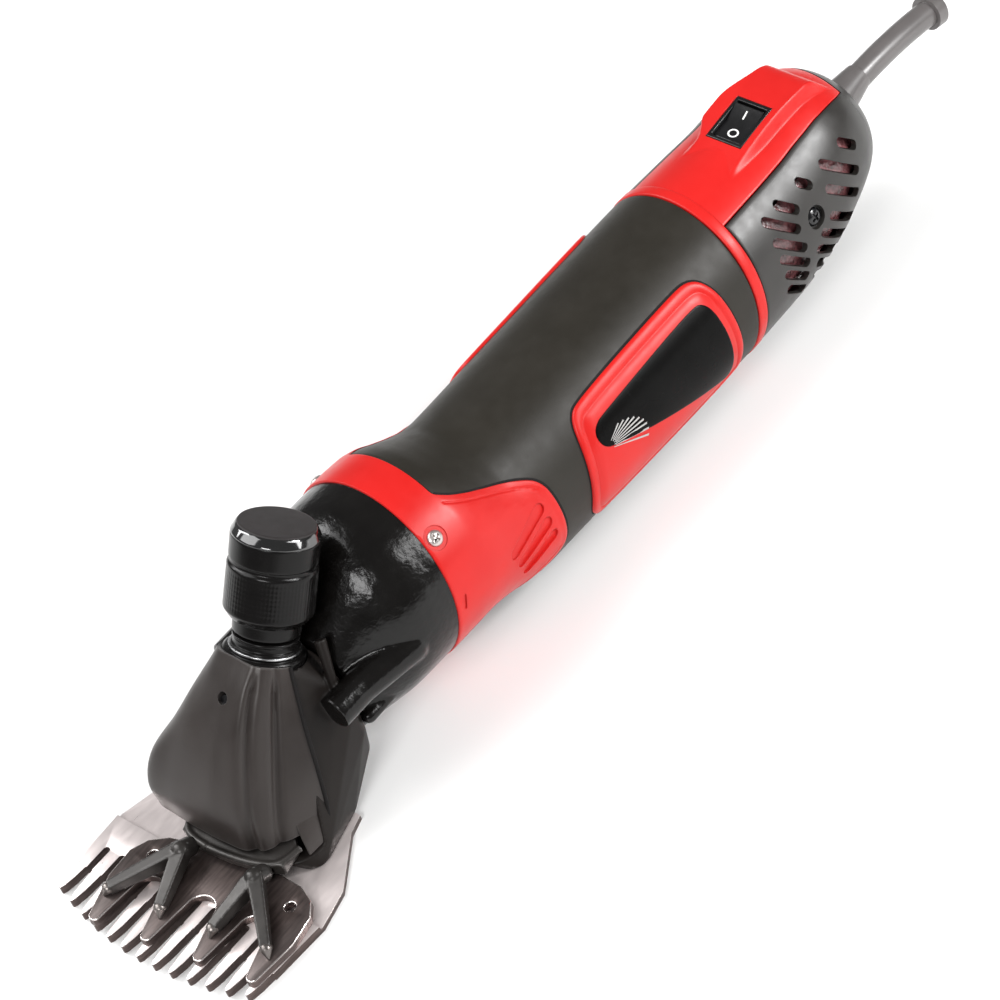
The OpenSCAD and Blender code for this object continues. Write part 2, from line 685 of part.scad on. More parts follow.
module comb() color("#c9bfbc") placed() difference() {
    union() {
        translate([0, 0, comb_z]) linear_extrude(comb_t) difference() {
            union() {
                polygon([[-225, -41.2], [-245, -40.4], [-245, 40.4], [-225, 41.2], [-213, 38], [-196, 26],
                    [-190, 24], [-190, -24], [-196, -26], [-213, -38]]);
                for (i = [0:teeth - 1]) comb_tooth((i - (teeth - 1) / 2) * tooth_pitch);
            }
            for (i = [0:teeth - 2]) comb_slot((i - (teeth - 2) / 2) * tooth_pitch);
            for (y = [-14, 14]) hull() for (x = [-202, -180]) translate([x, y]) circle(r = 2.3, $fn = 32);
        }
    }
    // the heel is lower than the ground face that the cutter runs on
    translate([-226, -big / 2, heel_top]) cube([big, big, 10]);
    translate([-226, -big / 2, heel_top]) rotate([0, -17, 0]) translate([-12, 0, 0.01])
        translate([12, 0, 0]) cube([10, big, 10]);
    // the teeth thin towards their tips
    translate([-243, -big / 2, comb_top]) rotate([0, 184, 0]) mirror([0, 0, 1]) cube([40, big, 10]);
    // pockets for the heads of the comb screws
    for (y = [-14, 14]) hull() for (x = [-202, -180])
        translate([x, y, comb_z - 1]) cylinder(r = 4.4, h = 2.2, $fn = 32);
}

// Plan of one tooth, pointed at its tip
module comb_tooth(y) {
    x = tip_x + tip_sag * pow(2 * y / comb_w, 2);
    polygon([[-236, y - 2.1], [x + 5, y - 1.5], [x + 1.2, y - 0.9], [x, y - 0.3], [x, y + 0.3],
        [x + 1.2, y + 0.9],
        [x + 5, y + 1.5], [-236, y + 2.1]]);
}

// Plan of the gap between two teeth, open at the front
module comb_slot(y) {
    half = tooth_pitch / 2 - 2.05;
    translate([-265, y - half]) square([27.5, 2 * half]);
    translate([-237.5, y]) circle(r = half, $fn = 24);
    polygon([[-265, y - half - 1], [-252, y - half], [-252, y + half], [-265, y + half + 1]]);
}

module comb_screws() color("#8d9094") placed() for (y = [-14, 14]) translate([-201, y, comb_z + 0.05]) {
    cylinder(r = 4.2, h = 1.1);
    cylinder(r = 2, h = 6);
}

// ---------------------------------------------------------------- tension knob

module tension_sleeve() color("#1c1b1b") placed() difference() {
    union() {
        knob_frame(49) cylinder(r = 8, h = 12);
        knob_frame(41) cylinder(r = 12, h = 3.8);
        knob_frame(37.5) cylinder(r = 9, h = 4.5);
        knob_frame(35) cylinder(r = 7.3, h = 23);
    }
    knob_frame(50) cylinder(r = 6, h = 45);
}

module tension_knob() color("#141313") placed() knob_frame(32.6) rotate_extrude()
    polygon([[7.4, 0], [10, 0], [10, 4.4], [11.4, 4.4], [knob_r, 6.6], [knob_r, 20.6],
        [knob_r - 0.5, 21.2], [knob_r - 0.5, 22.2], [knob_r - 0.2, 22.8], [knob_r - 0.2, 29.4],
        [knob_r - 1.3, 31.6], [knob_r - 2.2, 32.6], [0, 32.6], [0, 24], [7.4, 24]]);

module thrust_cup() color("#8d9094") placed() difference() {
    union() {
        knob_frame(51) cylinder(r = 5.8, h = 20);
        knob_frame(32) cylinder(r = 3, h = 5);
        knob_frame(28.4) cylinder(r = 5.5, h = 19.5);
    }
    knob_frame(52) cylinder(r = 2.4, h = 5);
}

module tension_spring() color("silver") placed() knob_frame(30.9) difference() {
    cylinder(r1 = 5.6, r2 = 4.8, h = 2.3);
    translate([0, 0, -1]) cylinder(r = 3.1, h = 5);
}

module tension_pin() color("#b4b7bb") placed() {
    knob_frame(58) sphere(r = 2.2);
    knob_frame(58) cylinder(r = 1.7, h = 8.2);
    knob_frame(49.6) sphere(r = 2.2);
}

// ---------------------------------------------------------------- nodes

grip_sleeve();
front_trim();
badge_panel(1);  // badge_panel_left
badge_panel(-1);  // badge_panel_right
label_plate(1);  // label_plate_left
label_plate(-1);  // label_plate_right
rear_cap();
rear_grille_cover();
switch_bezel();
switch_rocker();
switch_contacts();
strain_relief_boot();
cord_clamp();
cord_clamp_screws();
motor_housing();
field_core();
field_coils();
brush_holders();
carbon_brushes();
brush_springs();
motor_front_bearing();
motor_rear_bearing();
armature_shaft();
armature_core();
armature_winding();
commutator();
cooling_fan();
drive_pinion();
gear_plate();
gear_housing();
gear_housing_screws();
trim_screws();
grille_screws();
crank_shaft();
crank_gear();
crank_roller();
crank_front_bearing();
crank_rear_bearing();
head_casting();
head_cover();
cover_screw();
fulcrum_post();
fork();
yoke_left();
yoke_right();
cutter();
comb();
comb_screws();
tension_sleeve();
tension_knob();
thrust_cup();
tension_spring();
tension_pin();
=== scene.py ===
"""Electric sheep shears on a pale floor. Lengths along the barrel count from the joint between
the grip and the rear housing, heights from the barrel's axis, as in the part's own source."""
import json
import math

import bmesh
import bpy
import numpy as np
from mathutils import Matrix, Vector


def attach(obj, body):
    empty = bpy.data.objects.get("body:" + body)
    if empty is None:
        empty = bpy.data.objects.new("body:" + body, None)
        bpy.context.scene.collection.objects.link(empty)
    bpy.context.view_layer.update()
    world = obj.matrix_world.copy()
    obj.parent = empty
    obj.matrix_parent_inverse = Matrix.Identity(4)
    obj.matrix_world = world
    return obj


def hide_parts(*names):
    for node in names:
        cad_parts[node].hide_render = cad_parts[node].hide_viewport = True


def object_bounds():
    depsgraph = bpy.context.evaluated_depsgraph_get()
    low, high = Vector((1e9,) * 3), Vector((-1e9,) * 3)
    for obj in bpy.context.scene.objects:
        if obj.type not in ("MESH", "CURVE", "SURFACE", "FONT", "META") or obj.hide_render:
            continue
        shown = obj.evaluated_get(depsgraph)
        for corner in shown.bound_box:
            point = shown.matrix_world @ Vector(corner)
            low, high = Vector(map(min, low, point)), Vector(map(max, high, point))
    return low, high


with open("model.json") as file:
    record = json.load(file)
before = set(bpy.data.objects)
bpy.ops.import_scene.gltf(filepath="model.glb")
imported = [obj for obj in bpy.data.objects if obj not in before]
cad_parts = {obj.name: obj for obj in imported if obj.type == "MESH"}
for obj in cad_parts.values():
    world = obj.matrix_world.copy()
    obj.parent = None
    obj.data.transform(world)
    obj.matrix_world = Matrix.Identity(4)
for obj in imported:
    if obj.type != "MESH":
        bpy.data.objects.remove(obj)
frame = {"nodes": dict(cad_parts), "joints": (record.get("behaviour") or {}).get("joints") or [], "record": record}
cad_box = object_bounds()

NODES = frame["nodes"]
joints = {j["name"]: j for j in frame["joints"]}
# The armature's joint is 80 mm in front of the barrel's zero station, on its axis
ZERO = Vector(joints["armature_spin"]["pos_m"]) + Vector((0.080, 0, 0))
MM = 0.001


def at(x, y, z):
    """A place in the barrel's own millimetres, in the frame's metres."""
    return ZERO + Vector((x, y, z)) * MM


def at_all(points):
    """The same for an array of places."""
    return np.asarray(points, float) * MM + np.array(ZERO)


# ------------------------------------------------------------------ camera
VIEW_AZIMUTH, VIEW_ELEVATION, VIEW_ROLL = -33.35, 44.66, 21.97
VIEW_DISTANCE = 1367.1
VIEW_AIM = (-54.52, -66.09)     # sideways and upwards offset of the camera from the zero station


def add_camera():
    a, e, r = (math.radians(v) for v in (VIEW_AZIMUTH, VIEW_ELEVATION, VIEW_ROLL))
    back = Vector((math.sin(a) * math.cos(e), -math.cos(a) * math.cos(e), math.sin(e)))
    level = Vector((math.cos(a), math.sin(a), 0))
    over = back.cross(level)
    right = level * math.cos(r) - over * math.sin(r)
    up = level * math.sin(r) + over * math.cos(r)
    camera = bpy.data.objects.new("camera", bpy.data.cameras.new("camera"))
    bpy.context.scene.collection.objects.link(camera)
    place = ZERO + (back * VIEW_DISTANCE + right * VIEW_AIM[0] + up * VIEW_AIM[1]) * MM
    camera.matrix_world = Matrix.Translation(place) @ Matrix((right, up, back)).transposed().to_4x4()
    camera.data.sensor_width = 36
    camera.data.lens = 164.96
    camera.data.clip_end = 20
    bpy.context.scene.camera = camera


add_camera()


# ------------------------------------------------------------------ light and floor
def add_area(name, towards, distance, size, power, target=(-60, 0, 0)):
    """A rectangular lamp that shines at target from distance metres away, in watts."""
    lamp = bpy.data.lights.new(name, "AREA")
    lamp.shape = "RECTANGLE"
    lamp.size, lamp.size_y = size
    lamp.energy = power
    obj = bpy.data.objects.new(name, lamp)
    bpy.context.scene.collection.objects.link(obj)
    way = Vector(towards).normalized()
    obj.location = at(*target) + way * distance
    obj.rotation_euler = way.to_track_quat("Z", "X").to_euler()


def add_studio():
    world = bpy.data.worlds.new("studio")
    bpy.context.scene.world = world
    world.use_nodes = True
    bpy.context.scene.view_settings.view_transform = "Standard"
    background = world.node_tree.nodes["Background"]
    background.inputs["Color"].default_value = (1, 1, 1, 1)
    background.inputs["Strength"].default_value = 0.22
    add_area("key", (0.42, -0.80, 0.50), 1.1, (0.75, 0.20), 4.5)
    add_area("fill_left", (-0.75, -0.35, 0.60), 1.2, (0.4, 0.4), 6.5)
    add_area("rear_kick", (0.47, -0.66, 0.58), 0.8, (0.26, 0.10), 5, target=(42, -19, 20))
    add_area("rim", (-0.2, 0.75, 0.65), 1.3, (0.8, 0.3), 8)
    add_area("top", (-0.5, 0.45, 0.9), 1.6, (1.2, 0.9), 14)
    mesh = bpy.data.meshes.new("floor")
    s = 4.0
    mesh.from_pydata([(-s, -s, 0), (s, -s, 0), (s, s, 0), (-s, s, 0)], [], [(0, 1, 2, 3)])
    floor = bpy.data.objects.new("floor", mesh)
    bpy.context.scene.collection.objects.link(floor)
    floor.location.z = cad_box[0][2] - 0.0002
    mesh.materials.append(floor_material())


def floor_material():
    mat = bpy.data.materials.new("floor_paper")
    mat.use_nodes = True
    tree = mat.node_tree
    shader = tree.nodes["Principled BSDF"]
    noise = tree.nodes.new("ShaderNodeTexNoise")
    noise.inputs["Scale"].default_value = 40
    ramp = tree.nodes.new("ShaderNodeValToRGB")
    ramp.color_ramp.elements[0].color = (0.90, 0.90, 0.895, 1)
    ramp.color_ramp.elements[1].color = (0.93, 0.93, 0.925, 1)
    tree.links.new(noise.outputs["Fac"], ramp.inputs["Fac"])
    tree.links.new(ramp.outputs["Color"], shader.inputs["Base Color"])
    shader.inputs["Roughness"].default_value = 0.9
    shader.inputs["Specular IOR Level"].default_value = 0.1
    return mat


# ------------------------------------------------------------------ materials
def finish(name, colour, rough=0.4, metal=0.0, spec=0.5, vary=0.12, vary_scale=60, grain=0.0,
           grain_scale=2500, mottle=0.0, mottle_scale=180, coat=0.0, coat_rough=0.08, stretch=(1, 1, 1),
           edge=0.25, rough_vary=0.10, edge_wear_and_highlight=0.0):
    """A moulded, cast or ground surface: colour drift, roughness drift, grain, and softened edges."""
    mat = bpy.data.materials.new(name)
    mat.use_nodes = True
    tree = mat.node_tree
    make, link = tree.nodes.new, tree.links.new
    shader = tree.nodes["Principled BSDF"]
    place = make("ShaderNodeTexCoord")
    scale = make("ShaderNodeMapping")
    scale.inputs["Scale"].default_value = stretch
    link(place.outputs["Object"], scale.inputs["Vector"])

    def noise(size, detail=3.0):
        node = make("ShaderNodeTexNoise")
        node.inputs["Scale"].default_value = size
        node.inputs["Detail"].default_value = detail
        link(scale.outputs["Vector"], node.inputs["Vector"])
        return node.outputs["Fac"]

    drift = make("ShaderNodeValToRGB")
    drift.color_ramp.elements[0].position = 0.3
    drift.color_ramp.elements[1].position = 0.7
    drift.color_ramp.elements[0].color = [c * (1 - vary) for c in colour] + [1]
    drift.color_ramp.elements[1].color = [min(1, c * (1 + vary) + 0.002) for c in colour] + [1]
    link(noise(vary_scale), drift.inputs["Fac"])
    colour_out = drift.outputs["Color"]
    # Edges picked out by pointiness are mixed towards a lighter colour: partly rubbed wear, partly a painted
    # highlight along edges and ribs.
    if edge_wear_and_highlight:
        sharp = make("ShaderNodeNewGeometry")
        pick = make("ShaderNodeMapRange")
        pick.inputs["From Min"].default_value = 0.53
        pick.inputs["From Max"].default_value = 0.62
        pick.inputs["To Max"].default_value = edge_wear_and_highlight
        link(sharp.outputs["Pointiness"], pick.inputs["Value"])
        mix = make("ShaderNodeMix")
        mix.data_type = "RGBA"
        link(pick.outputs["Result"], mix.inputs["Factor"])
        link(colour_out, mix.inputs["A"])
        mix.inputs["B"].default_value = [min(1, c * 1.6 + 0.18) for c in colour] + [1]
        colour_out = mix.outputs["Result"]
    link(colour_out, shader.inputs["Base Color"])

    spread = make("ShaderNodeMapRange")
    spread.inputs["To Min"].default_value = max(0.02, rough - rough_vary)
    spread.inputs["To Max"].default_value = min(1, rough + rough_vary)
    link(noise(vary_scale * 4, 5.0), spread.inputs["Value"])
    link(spread.outputs["Result"], shader.inputs["Roughness"])

    soft = make("ShaderNodeBevel")
    soft.samples = 4
    soft.inputs["Radius"].default_value = edge * MM
    normal = soft.outputs["Normal"]
    for strength, size, depth in ((mottle, mottle_scale, 0.4), (grain, grain_scale, 0.04)):
        if strength:
            bump = make("ShaderNodeBump")
            bump.inputs["Strength"].default_value = strength
            bump.inputs["Distance"].default_value = depth * MM
            link(noise(size), bump.inputs["Height"])
            link(normal, bump.inputs["Normal"])
            normal = bump.outputs["Normal"]
    link(normal, shader.inputs["Normal"])
    shader.inputs["Metallic"].default_value = metal
    shader.inputs["Specular IOR Level"].default_value = spec
    shader.inputs["Coat Weight"].default_value = coat
    shader.inputs["Coat Roughness"].default_value = coat_rough
    return mat


FINISH = {
    "grip": finish("grip_soft_plastic", (0.018, 0.0155, 0.0115), 0.46, spec=0.28, grain=0.30,
                   grain_scale=1600, vary=0.10),
    "red": finish("red_plastic", (0.56, 0.012, 0.010), 0.35, spec=0.28, grain=0.10, vary=0.05),
    "label": finish("label_gloss_black", (0.0022, 0.0021, 0.0020), 0.26, spec=0.07, rough_vary=0.04),
    "fan": finish("label_silver_ink", (0.45, 0.44, 0.43), 0.35, metal=0.3),
    "grille": finish("grille_plastic", (0.020, 0.018, 0.016), 0.36, spec=0.5, grain=0.3, grain_scale=1800),
    "liner": finish("vent_liner", (0.20, 0.07, 0.075), 0.22, spec=0.8, mottle=0.8, mottle_scale=700,
                    vary=0.6, vary_scale=500),
    "switch": finish("switch_plastic", (0.005, 0.005, 0.0055), 0.24, spec=0.4, grain=0.08),
    "mark": finish("switch_mark", (0.85, 0.85, 0.83), 0.4, vary=0.02),
    "boot": finish("boot_rubber", (0.105, 0.096, 0.094), 0.32, spec=0.8),
    # Painted shadow: a near-black finish for flat strips laid where thin gaps would be in shade.
    "seam": finish("seam_shadow", (0.006, 0.005, 0.005), 0.7, spec=0.2),
    "plated": finish("plated_steel", (0.58, 0.53, 0.51), 0.34, metal=0.9, vary=0.08, grain=0.05),
    "black_steel": finish("black_steel", (0.004, 0.004, 0.005), 0.2, spec=0.6),
    "housing": finish("housing_gloss_black", (0.003, 0.0025, 0.0022), 0.19, spec=0.26, coat=0.08,
                      coat_rough=0.06, mottle=0.5, mottle_scale=380, vary=0.2, edge_wear_and_highlight=0.05),
    "head": finish("head_dark_bronze", (0.027, 0.0215, 0.0195), 0.38, metal=0.15, spec=0.42, grain=0.25,
                   grain_scale=1200, vary=0.16, vary_scale=35, edge_wear_and_highlight=0.30),
    # Painted shade: a darker copy of the head's finish for the casting, whose sides face away from the lamps.
    "casting": finish("head_casting_shaded_copy", (0.0115, 0.0092, 0.0082), 0.40, metal=0.05, spec=0.16,
                      grain=0.25, grain_scale=1200, vary=0.16, vary_scale=35, edge_wear_and_highlight=0.25),
    # The fork and cutter take a strong edge lightening: partly wear, partly a painted highlight on their rims.
    "fork": finish("fork_dark_steel", (0.030, 0.027, 0.025), 0.34, metal=0.35, grain=0.2, vary=0.3,
                   vary_scale=90, edge_wear_and_highlight=0.8),
    "foot": finish("yoke_foot_bare", (0.20, 0.18, 0.17), 0.30, metal=0.8, vary=0.2),
    "cutter": finish("cutter_brown_steel", (0.070, 0.052, 0.048), 0.34, metal=0.6, vary=0.35,
                     vary_scale=120, stretch=(1, 8, 1), edge_wear_and_highlight=0.8),
    "ground": finish("ground_edge", (0.80, 0.74, 0.72), 0.22, metal=1.0, vary=0.10, vary_scale=200,
                     stretch=(1, 12, 1), grain=0.1),
    # Painted shade: a dark steel for the blades' upright faces, so the comb's bright teeth get dark sides as if in
    # shadow.
    "blade_side": finish("blade_side_painted_shade", (0.10, 0.075, 0.07), 0.35, metal=0.8, vary=0.25,
                         vary_scale=200, stretch=(1, 1, 6)),
    "comb": finish("comb_polished_steel", (0.86, 0.775, 0.76), 0.32, metal=0.6, vary=0.14, vary_scale=45,
                   stretch=(1, 3, 1)),
    "knob": finish("knob_black", (0.003, 0.0026, 0.0025), 0.22, spec=0.20, grain=0.1, rough_vary=0.06),
    "polished": finish("knob_polished_edge", (0.003, 0.003, 0.003), 0.10, spec=0.9, coat=0.6,
                       rough_vary=0.03),
    "knob_top": finish("knob_matte_top", (0.020, 0.017, 0.017), 0.55, spec=0.3, grain=0.4, vary=0.15),
    "steel": finish("shaft_steel", (0.55, 0.55, 0.56), 0.25, metal=1.0, grain=0.1),
    "copper": finish("copper_winding", (0.62, 0.27, 0.12), 0.30, metal=0.9, grain=0.5, grain_scale=1500),
    "iron": finish("laminated_iron", (0.30, 0.31, 0.33), 0.45, metal=0.8, stretch=(60, 1, 1), vary=0.3),
    "cast": finish("die_cast_grey", (0.45, 0.46, 0.48), 0.5, metal=0.6, mottle=0.5, grain=0.3),
    "inner": finish("inner_plastic", (0.05, 0.05, 0.055), 0.5, grain=0.3),
    "brass": finish("brass_contact", (0.72, 0.50, 0.20), 0.28, metal=1.0, grain=0.1),
    "carbon": finish("brush_carbon", (0.02, 0.02, 0.022), 0.7, grain=0.5),
}

SLOT_FINISH = {
    "grip_plastic": "grip", "red_plastic": "red", "label_black": "label", "grille_plastic": "grille",
    "switch_plastic": "switch", "contact_brass": "brass", "boot_rubber": "boot", "inner_plastic": "inner",
    "plated_steel": "plated", "black_steel": "black_steel", "die_cast": "cast", "laminations": "iron",
    "copper_winding": "copper", "brush_carbon": "carbon", "bearing_steel": "steel", "shaft_steel": "steel",
    "housing_black": "housing", "head_bronze": "head", "fork_steel": "fork", "cutter_steel": "cutter",
    "comb_steel": "comb", "knob_black": "knob",
}


def paint_cad_nodes():
    for entry in frame["record"]["subparts"]:
        obj = NODES[entry["node"]]
        obj.data.materials.clear()
        obj.data.materials.append(FINISH[SLOT_FINISH[entry["material_slot"]]])


# ------------------------------------------------------------------ mesh helpers
def add_mesh(name, points, faces, body="handpiece", finish_name=None, nodes=(), smooth=35):
    """points in the barrel's millimetres; the piece rides on a body and may stand for CAD nodes."""
    mesh = bpy.data.meshes.new(name)
    mesh.from_pydata([tuple(p) for p in at_all(points)], [], [tuple(int(i) for i in f) for f in faces])
    mesh.update()
    obj = bpy.data.objects.new(name, mesh)
    bpy.context.scene.collection.objects.link(obj)
    return settle(obj, body, finish_name, nodes, smooth)


def settle(obj, body, finish_name, nodes=(), smooth=35):
    bm = bmesh.new()
    bm.from_mesh(obj.data)
    bmesh.ops.remove_doubles(bm, verts=bm.verts, dist=1e-6)
    bmesh.ops.recalc_face_normals(bm, faces=bm.faces)
    for face in bm.faces:
        face.material_index = 0
    bm.to_mesh(obj.data)
    bm.free()
    shade(obj, smooth)
    if finish_name:
        obj.data.materials.clear()
        obj.data.materials.append(FINISH[finish_name])
    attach(obj, body)
    if nodes:
        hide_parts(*nodes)
    return obj


def shade(obj, angle=35):
    for face in obj.data.polygons:
        face.use_smooth = True
    obj.data.set_sharp_from_angle(angle=math.radians(angle))


def grid_faces(rows, columns, wrap_columns=False):
    """Quads over a grid of points, row by row; wrapped columns make a tube."""
    faces = []
    for i in range(rows - 1):
        for j in range(columns if wrap_columns else columns - 1):
            here, after = i * columns, (j + 1) % columns
            faces.append((here + j, here + after, here + columns + after, here + columns + j))
    return faces


def tube_faces(rows, columns):
    """A tube with a flat cap at each end."""
    ends = [tuple(range(columns - 1, -1, -1)), tuple(range((rows - 1) * columns, rows * columns))]
    return grid_faces(rows, columns, wrap_columns=True) + ends


def slab_faces(n):
    """A closed solid between two outlines of n points."""
    ends = [tuple(range(n)), tuple(range(2 * n - 1, n - 1, -1))]
    return ends + [(i, (i + 1) % n, n + (i + 1) % n, n + i) for i in range(n)]


def turn_steps(count):
    """Angles evenly round a full turn."""
    return np.linspace(0, 2 * math.pi, count, endpoint=False)


def circle(radius, count, x=0, y=0):
    return [(x + radius * math.cos(a), y + radius * math.sin(a)) for a in turn_steps(count)]


def unit(v):
    """Vectors, along the last axis, scaled to length 1."""
    return v / np.linalg.norm(v, axis=-1, keepdims=True)


def stops(length, step, wall, corner):
    """Places from 0 to 1 along a shell's side, with the depth of its rolled edge at each."""
    roll = [(0.0, wall), (0.0, corner), (0.3 * corner, 0.3 * corner), (corner, 0.0)]
    inner = np.linspace(corner, length - corner, max(3, int(length / step)))[1:-1]
    out = roll + [(v, 0.0) for v in inner] + [(length - t, d) for t, d in reversed(roll)]
    return np.array([t / length for t, _ in out]), np.array([d for _, d in out])


def smooth_table(table):
    """A function that passes smoothly through rows of (x, a, b, ...), without overshoot."""
    table = np.array(sorted(table), float)
    x, y = table[:, 0], table[:, 1:]
    step = np.diff(x)[:, None]
    slope = np.diff(y, axis=0) / step
    tangent = np.zeros_like(y)
    tangent[1:-1] = np.where(slope[:-1] * slope[1:] > 0,
                             2 * slope[:-1] * slope[1:] / (slope[:-1] + slope[1:] + 1e-12), 0)
    tangent[0], tangent[-1] = slope[0], slope[-1]

    def value(at_x):
        at_x = np.clip(np.asarray(at_x, float), x[0], x[-1])
        i = np.clip(np.searchsorted(x, at_x) - 1, 0, len(x) - 2)
        h = (x[i + 1] - x[i])
        t = ((at_x - x[i]) / h)[..., None]
        h = h[..., None]
        return ((2 * t**3 - 3 * t**2 + 1) * y[i] + (t**3 - 2 * t**2 + t) * h * tangent[i]
                + (-2 * t**3 + 3 * t**2) * y[i + 1] + (t**3 - t**2) * h * tangent[i + 1])

    return value


def rounded(points, passes=3, closed=True):
    """Corner cutting, which turns an outline's corners into curves."""
    points = np.asarray(points, float)
    for _ in range(passes):
        after = np.roll(points, -1, axis=0) if closed else points[1:]
        before = points if closed else points[:-1]
        cut = np.stack([0.75 * before + 0.25 * after, 0.25 * before + 0.75 * after], 1)
        cut = cut.reshape(-1, points.shape[1])
        points = cut if closed else np.vstack([points[:1], cut, points[-1:]])
    return points


def even(points, count, closed=True):
    """The same outline as count evenly spaced points."""
    loop = np.vstack([points, points[:1]]) if closed else np.asarray(points)
    run = np.concatenate([[0], np.cumsum(np.linalg.norm(np.diff(loop, axis=0), axis=1))])
    where = np.linspace(0, run[-1], count, endpoint=not closed)
    return np.stack([np.interp(where, run, loop[:, k]) for k in range(loop.shape[1])], 1)


def loose(points, faces):
    """A closed solid that a cut or a casting uses up."""
    mesh = bpy.data.meshes.new("cut")
    mesh.from_pydata([tuple(p) for p in at_all(points)], [], faces)
    obj = bpy.data.objects.new("cut", mesh)
    bpy.context.scene.collection.objects.link(obj)
    bm = bmesh.new()
    bm.from_mesh(mesh)
    bmesh.ops.recalc_face_normals(bm, faces=bm.faces)
    bm.to_mesh(mesh)
    bm.free()
    return obj


def prism(outline, low, high):
    """A closed solid between two copies of an outline: low and high turn (u, v) into a place."""
    return [low(u, v) for u, v in outline] + [high(u, v) for u, v in outline], slab_faces(len(outline))


def carve(obj, solids):
    """Takes the solids out of obj for good."""
    for solid in solids:
        cut = obj.modifiers.new("cut", "BOOLEAN")
        cut.operation = "DIFFERENCE"
        cut.solver = "EXACT"
        cut.object = solid
    apply_modifiers(obj)
    for solid in solids:
        bpy.data.objects.remove(solid)


def apply_modifiers(obj):
    bpy.context.view_layer.update()
    graph = bpy.context.evaluated_depsgraph_get()
    mesh = bpy.data.meshes.new_from_object(obj.evaluated_get(graph))
    obj.modifiers.clear()
    obj.data = mesh


def lathe(name, profile, frame_at, body, finish_name, nodes=(), steps=96, wave=None):
    """profile is (distance along the axis, radius); frame_at places (along, across, up)."""
    points = []
    for s, r in profile:
        for i in range(steps):
            a = 2 * math.pi * i / steps
            radius = r + (wave(s, a) if wave else 0)
            points.append(frame_at(s, radius * math.cos(a), radius * math.sin(a)))
    faces = grid_faces(len(profile), steps, wrap_columns=True)
    if profile[0][1] > 0:
        faces.append(tuple(range(steps - 1, -1, -1)))
    if profile[-1][1] > 0:
        faces.append(tuple(range((len(profile) - 1) * steps, len(profile) * steps)))
    return add_mesh(name, points, faces, body, finish_name, nodes)


def round_corners(profile, radius):
    """Rounds the inner corners of an open profile with short arcs."""
    out = [profile[0]]
    for a, b, c in zip(profile[:-2], profile[1:-1], profile[2:]):
        a, b, c = map(np.array, (a, b, c))
        u, v = (a - b), (c - b)
        lu, lv = np.linalg.norm(u), np.linalg.norm(v)
        cut = min(radius, 0.45 * lu, 0.45 * lv)
        p, q = b + u / lu * cut, b + v / lv * cut
        for t in np.linspace(0, 1, 4):
            out.append(tuple((1 - t)**2 * p + 2 * t * (1 - t) * b + t * t * q))
    return out + [profile[-1]]


# ------------------------------------------------------------------ barrel
RING_REAR, RING_FRONT, SEAM_LEAN = -126.0, -138.6, math.tan(math.radians(7.5))
# Along the barrel: station, radius, height of the section's centre
barrel = smooth_table([(-150, 30.6, 9.4), (-134, 30.6, 9.2), (-122, 30.3, 8.6), (-117, 29.9, 7.4),
                       (-111, 29.2, 4.9), (-105, 28.8, 2.3), (-99, 28.55, 0.4), (-93, 28.5, -0.1),
                       (-56, 29.0, 0.0), (-20, 29.5, 0.0), (0, 29.6, 0.0), (20, 29.2, 0.0),
                       (34, 28.4, 0.4), (46, 27.3, 2.2), (56, 25.4, 4.2), (64, 22.9, 4.8),
                       (70, 19.6, 4.4), (74, 15.6, 4.1), (76.4, 11.2, 4.0), (77.3, 8.0, 4.0)])


def on_barrel(x, angle, height=0.0):
    """A place on the barrel: angle is 0 at the top and positive towards the right-hand side (-Y)."""
    x, angle = np.broadcast_arrays(np.asarray(x, float), np.asarray(angle, float))
    section = barrel(x)
    r = section[..., 0] + height
    return np.stack([x, -r * np.sin(angle), section[..., 1] + r * np.cos(angle)], -1)


def seam_station(x0, angle, height=0.0):
    """Where a leaning seam through x0 on the axis meets the barrel, for each angle."""
    x = np.full_like(np.asarray(angle, float), x0)
    for _ in range(12):
        x = x0 + on_barrel(x, angle, height)[..., 2] * SEAM_LEAN
    return x


def band(name, start, end, angles, height, finish_name, nodes, step, corner, rise=None):
    """A shell on the barrel from station start[i] to end[i] at each angle; rise(x) lifts its surface."""
    length = float(np.max(end - start))
    t, depth = stops(length, step, 2.0, corner)
    x = start[None, :] + (end - start)[None, :] * t[:, None]
    angle = np.broadcast_to(angles, x.shape)
    lift = height - depth[:, None]
    if rise:
        lift = lift + rise(x) * (depth[:, None] < corner + 0.01)
    points = on_barrel(x, angle, lift).reshape(-1, 3)
    faces = grid_faces(len(t), len(angles), wrap_columns=True)
    return add_mesh(name, points, faces, "handpiece", finish_name, nodes, smooth=50)


def thicken(obj, wall):
    solid = obj.modifiers.new("wall", "SOLIDIFY")
    solid.thickness = wall * MM
    solid.offset = -1
    apply_modifiers(obj)


AROUND = np.linspace(-math.pi, math.pi, 360, endpoint=False)
TRIM_HEIGHT = 0.4     # of the front trim over the grip


def add_sleeve():
    start = seam_station(RING_REAR + 0.1, AROUND)
    end = seam_station(-0.25, AROUND)
    reach = lobe_reach(AROUND)
    lobes = reach > seam_station(RING_REAR, AROUND, TRIM_HEIGHT) + 1.5

    def sunk(x):
        """The step down under the lobes, which leaves room for their louvres."""
        return -1.3 * np.clip((reach[None, :] - 1.6 - x) / 0.8, 0, 1) * lobes[None, :]

    band("grip_skin", start, end, AROUND, 0.0, "grip", ("grip_sleeve",), step=1.0, corner=0.35, rise=sunk)


LOBE = [(-122.6, 35.2), (-112, 27.0), (-95, 17.4), (-91.8, 14.2), (-90.6, 9.5), (-90.6, -8.5),
        (-92.6, -12.6), (-97, -14.2), (-119, -17.5), (-126, -18.2)]


